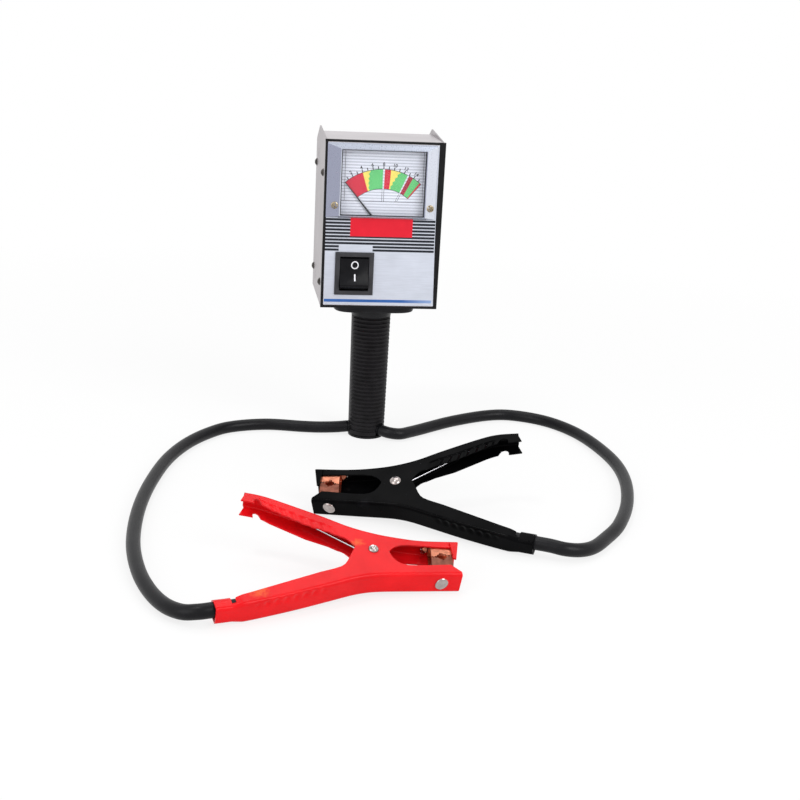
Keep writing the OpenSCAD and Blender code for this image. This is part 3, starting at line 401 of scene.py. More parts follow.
    # Extruded lead jacket: even black with a long faint lustre
    JACKET = Finish("extruded_rubber_jacket", "#0e0e11", 0.36, specular=0.16, mottle=0.25, mottle_mm=18,
                    grain=0.1, grain_mm=(1.2, 1.2, 1.2), bump_mm=0.02, rough_range=0.08)
    RED_DIP = DippedVinyl("red_vinyl_dip", "#dd1118", 0.2, specular=0.13, mottle_mm=26, grain=0.02,
                          grain_mm=(2.5, 2.5, 2.5), bump_mm=0.012,
                          worn_spots=((-45, -329, 30.4, 10), (-119, -385, 20.7, 13)))
    BLACK_DIP = DippedVinyl("black_vinyl_dip", "#030304", 0.14, specular=0.025, mottle=0.3,
                            mottle_mm=22, grain_mm=(2.5, 2.5, 2.5), bump_mm=0.012,
                            rough_range=0.05, worn="#1b1b1f", worn_spots=((-28, -226, 20, 14),))
    # Copper-plated stamping: pink-orange where rubbed, brown where it has oxidised
    COPPER = Finish("copper_plated_jaw", "#c07a61", 0.33, metallic=1.0, mottle=0.35, mottle_mm=4,
                    grain=0.18, grain_mm=(0.6, 0.6, 3.0), bump_mm=0.05)
    OLD_COPPER = Finish("oxidised_copper_jaw", "#76483b", 0.4, metallic=1.0, mottle=0.3, mottle_mm=4,
                        grain=0.2, grain_mm=(0.6, 0.6, 3.0), bump_mm=0.05)
    SPRING = Finish("music_wire", "#b5b4b8", 0.25, metallic=1.0, mottle=0.08, mottle_mm=3, grain=0.06)
    ELEMENT = Finish("oxidised_resistance_ribbon", "#5f5654", 0.45, metallic=0.8, mottle=0.3,
                     mottle_mm=15, grain=0.12, grain_mm=(0.7, 0.7, 6.0))
    CERAMIC = Finish("unglazed_steatite", "#e4dfd2", 0.75, mottle=0.05, mottle_mm=4, grain=0.05,
                     bump_mm=0.03)
    BOARD = Finish("phenolic_paper_board", "#5b3a22", 0.5, mottle=0.12, mottle_mm=6, grain=0.12,
                   grain_mm=(0.6, 0.6, 3.0), bump_mm=0.02)

    def material(self) -> bpy.types.Material:
        """The finish's material, built at its first use."""
        return bpy.data.materials.get(self.value.name) or self.value.material()


# ---------------------------------------------------------------- meshes

def dress(thing: bpy.types.Object, look: Look) -> bpy.types.Object:
    """Gives an object one finish over all its faces."""
    thing.data.materials.clear()
    thing.data.materials.append(look.material())
    return thing


def dress_nodes(look: Look, *names: str) -> None:
    """Gives carried-over solids their finish."""
    for name in names:
        dress(frame["nodes"][name], look)
        log.info("%s wears %s", name, look.name.lower())


def settle(thing: bpy.types.Object, body: str, slot: str, *replaced: str) -> bpy.types.Object:
    """Ties a finished piece to its body and hides the solids that it stands for.

    Args:
        thing: the piece, in place.
        body: the body it moves with.
        slot: the record's material slot; not used.
        replaced: the solids it stands for.

    Returns:
        The same piece.
    """
    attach(thing, body)
    if replaced:
        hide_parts(*replaced)
    log.info("%s rides on %s", thing.name, body)
    return thing


def new_object(name: str, mesh: bpy.types.Mesh) -> bpy.types.Object:
    """Links a mesh to the scene under a name."""
    made = bpy.data.objects.new(name, mesh)
    bpy.context.scene.collection.objects.link(made)
    return made


def faces_of_grid(rows: int, columns: int, wrap: bool) -> np.ndarray:
    """Lists the quads of a grid of points, row by row.

    Args:
        rows: how many rows of points there are.
        columns: how many points a row has.
        wrap: whether the last point of a row joins the first.

    Returns:
        An array of quads, each four point numbers.
    """
    i, k = np.meshgrid(np.arange(rows - 1), np.arange(columns if wrap else columns - 1), indexing="ij")
    j = (k + 1) % columns
    return np.stack([i * columns + k, (i + 1) * columns + k, (i + 1) * columns + j, i * columns + j],
                    axis=-1).reshape(-1, 4)


def end_caps(rings: int, sides: int) -> list[list[int]]:
    """Lists the points of the first ring and, the other way round, of the last ring."""
    return [list(range(sides)), list(range(rings * sides - 1, (rings - 1) * sides - 1, -1))]


def mesh_from(name: str, points: np.ndarray, faces: Iterable[Sequence[int]]) -> bpy.types.Mesh:
    """Makes a mesh with smooth faces.

    Args:
        name: its name.
        points: its points, in metres.
        faces: the point numbers of each face.

    Returns:
        The mesh.
    """
    mesh = bpy.data.meshes.new(name)
    mesh.from_pydata([tuple(p) for p in points.tolist()], [], [tuple(int(v) for v in f) for f in faces])
    mesh.shade_smooth()
    mesh.update()
    return mesh


def curve_through(points: np.ndarray, steps: int) -> np.ndarray:
    """Runs a Catmull-Rom curve through every point, steps pieces to each span.

    The curve between b and c is half of 2b + (c-a)t + (2a-5b+4c-d)t^2 + (3b-a-3c+d)t^3.

    Args:
        points: the points, a row each.
        steps: how many pieces a span has.

    Returns:
        The curve's points, a row each.
    """
    a, b = points[np.maximum(np.arange(len(points) - 1) - 1, 0)], points[:-1]
    c, d = points[1:], points[np.minimum(np.arange(len(points) - 1) + 2, len(points) - 1)]
    t = (np.arange(steps) / steps)[None, :, None]
    a, b, c, d = (v[:, None, :] for v in (a, b, c, d))
    curve = 0.5 * (2 * b + (c - a) * t + (2 * a - 5 * b + 4 * c - d) * t ** 2
                   + (3 * b - a - 3 * c + d) * t ** 3)
    return np.vstack([curve.reshape(-1, points.shape[1]), points[-1:]])


def tube_mesh(name: str, path: np.ndarray, radius: float, sides: int, first: Sequence[float],
              last: Sequence[float]) -> bpy.types.Mesh:
    """Sweeps a circle along a path and closes both ends.

    A ring's points are centre + radius * (cos(a) * side + sin(a) * up), where side is the
    direction crossed with +Z and up is side crossed with the direction.

    Args:
        name: the mesh's name.
        path: the centre line's points, in metres.
        radius: the tube's radius, in metres.
        sides: how many points a ring has.
        first: the direction at the start.
        last: the direction at the end.

    Returns:
        The closed tube.
    """
    ahead = np.vstack([[first], path[2:] - path[:-2], [last]]).astype(float)
    ahead /= np.linalg.norm(ahead, axis=1, keepdims=True)
    side = np.cross(ahead, [0.0, 0.0, 1.0])
    side /= np.linalg.norm(side, axis=1, keepdims=True)
    up = np.cross(side, ahead)
    angle = np.linspace(0, math.tau, sides, endpoint=False)[None, :, None]
    spokes = np.cos(angle) * side[:, None, :] + np.sin(angle) * up[:, None, :]
    rings = path[:, None, :] + radius * spokes
    faces = [*faces_of_grid(len(path), sides, wrap=True), *end_caps(len(path), sides)]
    return outward(mesh_from(name, rings.reshape(-1, 3), faces))


def outward(mesh: bpy.types.Mesh) -> bpy.types.Mesh:
    """Turns every face of a closed mesh outwards."""
    work = bmesh.new()
    work.from_mesh(mesh)
    bmesh.ops.recalc_face_normals(work, faces=work.faces)
    work.to_mesh(mesh)
    work.free()
    return mesh


def creased(mesh: bpy.types.Mesh, angle_deg: float = 50) -> bpy.types.Mesh:
    """Breaks the smooth shading where faces meet at more than an angle."""
    mesh.set_sharp_from_angle(angle=math.radians(angle_deg))
    return mesh


def rounded(thing: bpy.types.Object, width_mm: float, segments: int, angle_deg: float,
            **settings: Any) -> bpy.types.Object:
    """Rounds the edges that turn by more than an angle.

    Args:
        thing: the piece.
        width_mm: how wide the rounding is.
        segments: how many faces it takes across.
        angle_deg: the angle.
        settings: the Bevel modifier's other attributes.

    Returns:
        The same piece.
    """
    bevel = thing.modifiers.new("rounding", "BEVEL")
    bevel.width, bevel.segments = width_mm * MM, segments
    bevel.limit_method, bevel.angle_limit = "ANGLE", math.radians(angle_deg)
    for name, value in settings.items():
        setattr(bevel, name, value)
    return thing


def body_of(node: str) -> str:
    """Gives the body that a solid moves with."""
    return frame["nodes"][node]["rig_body"]


def add_piece(mesh: bpy.types.Mesh, look: Look, body: str, slot: str,
              *replaced: str) -> bpy.types.Object:
    """Adds a piece under its mesh's name, dresses it and settles it."""
    return settle(dress(new_object(mesh.name, mesh), look), body, slot, *replaced)


def add_print(mesh: bpy.types.Mesh, look: Look, slot: str, body: str = ROOT) -> None:
    """Adds a flat-shaded piece, such as a print."""
    mesh.shade_flat()
    add_piece(mesh, look, body, slot)


def merged(node: str, flatten: bool) -> bpy.types.Object:
    """Copies a solid into a smooth piece whose loose triangles share their points.

    Args:
        node: the solid.
        flatten: whether triangles that lie in one plane become one face.

    Returns:
        The copy, in place.
    """
    mesh = frame["nodes"][node].data.copy()
    work = bmesh.new()
    work.from_mesh(mesh)
    bmesh.ops.remove_doubles(work, verts=work.verts, dist=MERGE_DISTANCE)
    if flatten:
        bmesh.ops.dissolve_limit(work, angle_limit=math.radians(0.4), verts=work.verts, edges=work.edges)
    work.to_mesh(mesh)
    work.free()
    mesh.shade_smooth()
    return new_object(f"{node}_finished", mesh)


def pierced_sheet(node: str, look: Look) -> None:
    """Dresses a sheet-metal solid that has holes.

    Its triangles stay as they are and its shading breaks at each sharp edge, because a
    rounding would tear at the holes.
    """
    made = merged(node, flatten=False)
    creased(made.data, 28)
    settle(dress(made, look), body_of(node), "sheet_steel", node)


def softened(node: str, look: Look, slot: str, width_mm: float) -> None:
    """Dresses a moulded solid and rounds its sharp edges.

    Args:
        node: the solid that the copy stands for.
        look: its finish.
        slot: the record's material slot.
        width_mm: how wide the rounding is.
    """
    made = rounded(merged(node, flatten=True), width_mm, segments=3, angle_deg=35,
                   use_clamp_overlap=False, harden_normals=True, miter_outer="MITER_ARC")
    settle(dress(made, look), body_of(node), slot, node)


def slab(low: Sequence[float], high: Sequence[float]) -> Shape:
    """A box from its low corner to its high corner, in mm, as points and outward quads."""
    square = [[0, 0], [1, 0], [1, 1], [0, 1]]
    pick = np.array([[x, y, z] for z in (0, 1) for x, y in square])
    points = np.where(pick, np.asarray(high, float), np.asarray(low, float)) * MM
    quads = np.array([[0, 3, 2, 1], [4, 5, 6, 7], [0, 1, 5, 4], [1, 2, 6, 5], [2, 3, 7, 6],
                      [3, 0, 4, 7]])
    return points, quads


def joined(name: str, parts: Sequence[Shape]) -> bpy.types.Mesh:
    """Puts several closed shapes into one mesh."""
    start, points, faces = 0, [], []
    for some_points, some_faces in parts:
        points.append(some_points)
        faces.extend((np.asarray(some_faces) + start).tolist())
        start += len(some_points)
    return mesh_from(name, np.vstack(points), faces)


def ribbon(inner: np.ndarray, outer: np.ndarray, low_y: float, high_y: float) -> Shape:
    """A flat band between two lines in the XZ plane, low_y to high_y deep.

    Args:
        inner: points (x, z) of one edge, in mm.
        outer: as many points (x, z) of the other edge.
        low_y: the front, in mm.
        high_y: the back, in mm.

    Returns:
        Its points in metres and its quads: a loop of four lines, carried along the band.
    """
    count = len(inner)
    lines = [(inner, low_y), (outer, low_y), (outer, high_y), (inner, high_y)]
    points = np.stack([np.stack([line[:, 0], np.full(count, y), line[:, 1]], axis=1)
                       for line, y in lines], axis=1)
    faces = np.vstack([faces_of_grid(count, 4, wrap=True), end_caps(count, 4)])
    return points.reshape(-1, 3) * MM, faces


# ---------------------------------------------------------------- the tester

@dataclass
class Studio:
    """The pale floor, the soft lamps and the camera."""

    focal_px: float = 1300.0
    image_px: float = 800.0
    sensor_mm: float = 36.0
    eye_mm: tuple[float, float, float] = (-155.6, -1201.3, 425.0)
    turn_deg: float = 8.9
    down_deg: float = 17.8
    roll_deg: float = 3.07
    world_level: float = 0.55
    floor_white: float = 0.8
    floor_edge_m: float = 30.0
    middle_mm: tuple[float, float, float] = (0.0, -150.0, 0.0)
    aim: tuple[float, float, float] = (0.0, -0.1, 0.1)
    lamps: tuple[tuple[str, tuple[float, float, float], float, float], ...] = (
        ("key_lamp", (1.2, -1.6, 1.3), 1.2, 22), ("fill_lamp", (-1.5, -1.3, 0.9), 1.4, 10),
        ("top_lamp", (0.1, 0.5, 2.0), 1.2, 8), ("glint_lamp", (-0.6, -0.5, 1.7), 0.3, 5))

    def camera(self) -> None:
        """Sets the camera from its place, turn, downward tilt and roll."""
        turn, down, roll = (math.radians(v) for v in (self.turn_deg, self.down_deg, self.roll_deg))
        right = Vector((math.cos(turn), -math.sin(turn), 0))
        ahead = Vector((math.sin(turn) * math.cos(down), math.cos(turn) * math.cos(down),
                        -math.sin(down)))
        up = right.cross(ahead)
        x_axis = right * math.cos(roll) + up * math.sin(roll)
        y_axis = up * math.cos(roll) - right * math.sin(roll)
        data = bpy.data.cameras.new("camera")
        data.sensor_width = self.sensor_mm
        data.lens = self.focal_px / self.image_px * self.sensor_mm
        data.clip_start, data.clip_end = 0.05, 50
        made = bpy.data.objects.new("camera", data)
        bpy.context.scene.collection.objects.link(made)
        turned = Matrix((x_axis, y_axis, -ahead)).transposed().to_4x4()
        made.matrix_world = Matrix.Translation(Vector(self.eye_mm) * MM) @ turned
        bpy.context.scene.camera = made

    def seen_directly(self, tree: Tree) -> Socket:
        """Gives 1 for rays that show the backdrop itself: camera, glossy and transmitted."""
        camera, glossy, through = (
            add_node(tree, "ShaderNodeLightPath", output=f"Is {kind} Ray")
            for kind in ("Camera", "Glossy", "Transmission"))
        either = add_node(tree, "ShaderNodeMath", {0: camera, 1: glossy}, operation="MAXIMUM")
        return add_node(tree, "ShaderNodeMath", {0: either, 1: through}, operation="MAXIMUM")

    def floor(self) -> None:
        """Lays a wide white floor that keeps the shadows and shows as white."""
        points = self.floor_edge_m * np.array([[-1, -1, 0], [1, -1, 0], [1, 1, 0], [-1, 1, 0]])
        made = new_object("studio_floor", mesh_from("studio_floor", points, [[0, 1, 2, 3]]))
        material, tree = blank_material("white_studio_floor")
        paper = add_node(tree, "ShaderNodeBsdfDiffuse", {"Color": linear("#f4f4f4")})
        glow = add_node(tree, "ShaderNodeEmission", {"Color": (1, 1, 1, 1), "Strength": 1.0})
        white = add_node(tree, "ShaderNodeMapRange", {
            "Value": distance_from(tree, self.middle_mm), "From Min": 0.3, "From Max": 1.1,
            "To Min": self.floor_white})
        share = add_node(tree, "ShaderNodeMath", {0: self.seen_directly(tree), 1: white},
                         operation="MULTIPLY")
        both = add_node(tree, "ShaderNodeMixShader", {0: share, 1: paper, 2: glow})
        add_node(tree, "ShaderNodeOutputMaterial", {"Surface": both})
        made.data.materials.append(material)

    def world(self) -> None:
        """Lights the room evenly; seen directly it is white."""
        world = bpy.data.worlds.new("studio")
        bpy.context.scene.world = world
        world.use_nodes = True
        tree = world.node_tree
        tree.nodes.clear()
        soft, white = (
            add_node(tree, "ShaderNodeBackground", {"Color": (1, 1, 1, 1), "Strength": level})
            for level in (self.world_level, 1.0))
        both = add_node(tree, "ShaderNodeMixShader", {0: self.seen_directly(tree), 1: soft, 2: white})
        add_node(tree, "ShaderNodeOutputWorld", {"Surface": both})

    def lamp(self, name: str, place: Sequence[float], size: float, watts: float) -> None:
        """Hangs a square soft lamp that is aimed at the tester.

        Args:
            name: its name.
            place: where it hangs, in metres.
            size: its side, in metres.
            watts: its power.
        """
        data = bpy.data.lights.new(name, "AREA")
        data.size, data.energy = size, watts
        made = bpy.data.objects.new(name, data)
        bpy.context.scene.collection.objects.link(made)
        made.location = place
        made.rotation_euler = (Vector(self.aim) - Vector(place)).to_track_quat("-Z", "Y").to_euler()

    def build(self) -> None:
        """Builds the whole studio."""
        self.camera()
        self.floor()
        self.world()
        for lamp in self.lamps:
            self.lamp(*lamp)
        bpy.context.scene.view_settings.view_transform = "Standard"


@dataclass
class Lead:
    """One heavy rubber-jacketed lead from the grip to a clamp."""

    name: str
    node: str
    exit_deg: float
    route: Triples
    end_ahead: tuple[float, float, float]
    diameter_mm: float = 11.2
    sides: int = 36
    steps: int = 8

    def build(self, riders: Sequence[bpy.types.Object]) -> None:
        """Args:
            riders: the clamp's pieces, which lie on the lead's end; not used.
        """
        path = curve_through(np.array(self.route, float), self.steps)
        path[:, 2] = np.maximum(path[:, 2], self.diameter_mm / 2)
        path *= MM
        turn = math.radians(self.exit_deg)
        mesh = tube_mesh(self.name, path, self.diameter_mm / 2 * MM, self.sides,
                         (math.cos(turn), math.sin(turn), 0), self.end_ahead)
        made = add_piece(mesh, Look.JACKET, ROOT, "lead_rubber", self.node)


@dataclass(frozen=True)
class ClampFrame:
    """Where a clamp lies: its tail on the floor, its heading, its lean, and its upper side."""

    tail: tuple[float, float, float]
    heading_deg: float
    lean_deg: float
    drop: float = 0.0

    def place(self, points: np.ndarray) -> np.ndarray:
        """Carries points (x, y, z) of the clamp's own frame, in mm, to the scene, in metres.

        A point is tail + x(cos h, sin h, 0) + y(-sin h cos l, cos h cos l, sin l)
        + (z - drop)(sin h sin l, -cos h sin l, cos l), h the heading and l the lean.
        """
        h, l = math.radians(self.heading_deg), math.radians(self.lean_deg)
        axes = np.array([[math.cos(h), math.sin(h), 0],
                         [-math.sin(h) * math.cos(l), math.cos(h) * math.cos(l), math.sin(l)],
                         [math.sin(h) * math.sin(l), -math.cos(h) * math.sin(l), math.cos(l)]])
        return (np.asarray(self.tail) + (points - [0, 0, self.drop]) @ axes) * MM


def shell(name: str, outer: np.ndarray, inner: np.ndarray, quads: np.ndarray) -> bpy.types.Mesh:
    """Closes two matching sheets of points into one solid of sheet metal.

    An edge that only one quad uses is on the rim, and gets a face from sheet to sheet.

    Args:
        name: the mesh's name.
        outer: the outer sheet's points, in metres.
        inner: the inner sheet's points, one for each outer one.
        quads: the outer sheet's quads.

    Returns:
        The closed mesh, smooth where its faces meet at less than 38 degrees.
    """
    size = len(outer)
    start, stop = quads.reshape(-1), np.roll(quads, -1, axis=1).reshape(-1)
    rim = ~np.isin(start * size + stop, stop * size + start)
    a, b = start[rim], stop[rim]
    faces = np.vstack([quads, quads[:, ::-1] + size, np.stack([b, a, a + size, b + size], axis=1)])
    return creased(outward(mesh_from(name, np.vstack([outer, inner]), faces)), 38)


@dataclass
class FoldedChannel:
    """A channel folded from one sheet: a web with two cheeks, round at its two bends.

    The section at each station runs across the web, round a bend and up a cheek. Edge
    points are (station x, edge x, edge y), so that an end can lean. Along crimp_l the
    cheeks curl over into a flattened tube.
    """

    name: str
    web: list[tuple[float, float]]
    edge: Triples
    low_z: float
    high_z: float
    up: float = 1.0
    sheet: float = 1.2
    bend: float = 2.6
    rim: float = 0.35
    crimp_l: float = 0.0
    crimp_r: float = 6.8
    pinch: float = 0.0
    waves: tuple[float, float, float, float] = (0.0, 0.0, 1.0, 0.0)
    pressed: tuple[float, float, float, float, float] = (0.0, 0.0, 0.5, 0.0, 1.0)
    scallops: float = 0.0
    deeper: float = 0.0
    deeper_span: tuple[float, float] = (128.0, 187.0)
    near: int = 1
    columns: tuple[int, int, int] = (12, 7, 22)

    def stations(self) -> np.ndarray:
        """Where the sections stand: evenly, and at every corner of the web and the edge."""
        low, high = self.web[0][0], self.web[-1][0]
        corners = [x for x, *_ in self.web] + [x for x, *_ in self.edge]
        crimp = [self.crimp_l, self.crimp_l + 0.02] if self.crimp_l else []
        every = np.concatenate([np.linspace(low, high, 230), corners, crimp])
        return np.unique(np.clip(every, low, high).round(3))

    def half_section(self, height: np.ndarray, half: np.ndarray,
                     crimped: np.ndarray) -> tuple[np.ndarray, ...]:
        """The section from the middle of the web to a cheek's edge.

        Across the web the distance a grows from 0 to w - r. Round the bend, a is
        w - r + r sin(t) and h is r - r cos(t). Up the cheek h grows to the height. In the
        crimp it grows to R, then turns over by a = w - R + R cos(t), h = R + R sin(t).

        Args:
            height: each station's cheek height.
            half: each station's half width, w.
            crimped: which stations lie in the crimp.

        Returns:
            Distance from the middle, height from the web and share up the cheek.
        """
        across, around, rise = self.columns
        w, r = half[:, None], self.bend
        flat = np.linspace(0, 1, across, endpoint=False)[None, :] * (w - r)
        t = np.linspace(0, math.pi / 2, around)[None, :]
        share = np.linspace(0, 1, rise + 1)[None, 1:]
        cheek_h = r + (np.maximum(height[:, None], r + 0.3) - r) * share
        cheek_a = np.repeat(w, rise, axis=1)
        if crimped.any():
            turn = np.linspace(0, math.pi / 2, 24)
            top, wide = self.crimp_r, half[0]
            line_a = np.concatenate([[wide], wide - top + top * np.cos(turn), [0.8]])
            line_h = np.concatenate([[r], top + top * np.sin(turn), [2 * top]])
            along = np.concatenate([[0], np.cumsum(np.hypot(np.diff(line_a), np.diff(line_h)))])
            at = share[0] * along[-1]
            cheek_a[crimped] = np.interp(at, along, line_a)
            cheek_h[crimped] = np.interp(at, along, line_h)
        a = np.hstack([flat, w - r + r * np.sin(t), cheek_a])
        h = np.hstack([np.zeros_like(flat), r - r * np.cos(t) + 0 * w, cheek_h])
        return a, h, np.hstack([np.zeros((len(w), across + around)), share.repeat(len(w), axis=0)])

    def side(self, sign: int, x: np.ndarray, web_y: np.ndarray) -> np.ndarray:
        """One side of the outer sheet, from the web's middle to the cheek's edge.

        On the near side the web swells inward by d sin^2(pi x / p) in the waves, and the
        cheek is pressed in by d (0.75 + 0.25 cos(2 pi x / p)) beyond a share of its height,
        where its edge has scallops of c |sin(pi x / p)|. The far side's cheek is deeper
        over the deeper span.

        Args:
            sign: -1 for the side at low z, 1 for the side at high z.
            x: the stations.
            web_y: the web's height at each.

        Returns:
            A grid of points (x, y, z), a row for each station.
        """
        at, edge_x, edge_y = (np.array(v, float) for v in zip(*self.edge))
        crimped = x <= self.crimp_l if self.crimp_l else np.zeros(len(x), bool)
        near = float(sign == self.near)
        start, stop = self.deeper_span
        wall = np.clip((x - start) / 8, 0, 1) * np.clip((stop - x) / 3, 0, 1) * self.deeper * (1 - near)
        first, last, from_share, depth, pitch = self.pressed
        window = np.clip(np.minimum(x - first, last - x) / 5, 0, 1) * near
        cut = self.scallops * window * np.abs(np.sin(math.pi * (x - first) / pitch))
        height = self.up * (np.interp(x, at, edge_y) - web_y) + wall - cut
        half = (self.high_z - self.low_z) / 2 - self.pinch * np.clip((self.crimp_l + 8 - x) / 8, 0, 1)
        a, h, share = self.half_section(height, half, crimped)
        a = a - depth * window[:, None] * np.clip((share - from_share) / 0.06, 0, 1) * (
            0.75 + 0.25 * np.cos(math.tau * x[:, None] / pitch))
        first, last, pitch, depth = self.waves
        window = np.clip(np.minimum(x - first, last - x) / pitch, 0, 1)[:, None] * near
        swell = depth * window * np.sin(math.pi * (x[:, None] - first) / pitch) ** 2
        h = h + swell * np.sin(math.pi * np.clip(a / half.max(), 0, 1) ** 1.4) ** 2 * (share == 0)
        shift = np.where(crimped, 0.0, np.interp(x, at, edge_x) - x)[:, None] * share
        return np.stack([x[:, None] + shift, web_y[:, None] + self.up * h,
                         (self.low_z + self.high_z) / 2 + sign * a], axis=-1)

    def sheet_points(self) -> tuple[np.ndarray, np.ndarray, np.ndarray]:
        """Works out the outer sheet, the inner sheet and the quads between stations."""
        x = self.stations()
        line = curve_through(np.array(self.web, float), 12)
        web_y = np.interp(x, line[:, 0], line[:, 1])
        rows = np.concatenate([self.side(-1, x, web_y)[:, :0:-1], self.side(1, x, web_y)], axis=1)
        normal = np.cross(np.gradient(rows, axis=0), np.gradient(rows, axis=1))
        normal /= np.linalg.norm(normal, axis=2, keepdims=True) + 1e-12
        inner = rows + self.sheet * normal
        middle = rows.shape[1] // 2
        if (inner - rows)[len(x) // 2, middle, 1] * self.up < 0:
            inner = 2 * rows - inner
        quads = faces_of_grid(*rows.shape[:2], wrap=False)
        if self.crimp_l:
            station, column = np.divmod(quads.min(axis=1), rows.shape[1])
            cut = int(np.flatnonzero(x <= self.crimp_l)[-1])
            keep = self.columns[0] + self.columns[1] - 1
            quads = quads[~((station == cut) & (np.abs(column - middle + 0.5) > keep))]
        return rows.reshape(-1, 3), inner.reshape(-1, 3), quads

    def build(self, frame_of: ClampFrame, look: Look, slot: str, node: str) -> bpy.types.Object:
        """Builds the channel in place.

        Args:
            frame_of: the clamp's frame.
            look: the finish.
            slot: the record's material slot.
            node: the solid that it stands for.

        Returns:
            The finished channel.
        """
        outer, inner, quads = self.sheet_points()
        mesh = shell(self.name, frame_of.place(outer), frame_of.place(inner), quads)
        made = add_piece(mesh, look, body_of(node), slot, node)
        return rounded(made, self.rim, segments=2, angle_deg=60, harden_normals=True)


def toothed(edge: Triples, pitch: float, depth: float) -> Triples:
    """Cuts small teeth into a jaw's edge, with one deep vee in its middle.

    Args:
        edge: the edge's two ends, as (station x, edge x, edge y).
        pitch: the teeth's pitch, in mm.
        depth: how deep they are, in mm; its sign says which way.

    Returns:
        The toothed edge.
    """
    ends = np.array(edge, float)
    count = max(int((ends[1, 0] - ends[0, 0]) / pitch) * 2, 2)
    share = np.linspace(0, 1, count + 1)
    line = ends[0] + (ends[1] - ends[0]) * share[:, None]
    line[1::2, 2] -= depth
    vee = np.clip(1 - np.abs(share - 0.5) / 0.27, 0, 1)
    line[:, 2] -= vee * 3.4 * math.copysign(1, depth)
    return [tuple(row) for row in line.tolist()]


def turned(name: str, radius: np.ndarray, height: np.ndarray, sectors: int,
           place: Callable[[np.ndarray], np.ndarray]) -> bpy.types.Mesh:
    """Turns a profile into a closed solid.

    Args:
        name: the mesh's name.
        radius: the profile's radii, one for each ring.
        height: the rings' heights, one for each ring and sector.
        sectors: how many points a ring has.
        place: carries points (r cos t, r sin t, height) to the scene, in metres.

    Returns:
        The closed mesh, smooth where its faces meet at less than 50 degrees.
    """
    turn = np.linspace(0, math.tau, sectors, endpoint=False)
    r = radius[:, None]
    points = np.stack([r * np.cos(turn), r * np.sin(turn), height + 0 * turn], axis=-1)
    faces = [*faces_of_grid(len(radius), sectors, wrap=True), *end_caps(len(radius), sectors)]
    return creased(outward(mesh_from(name, place(points.reshape(-1, 3)), faces)))


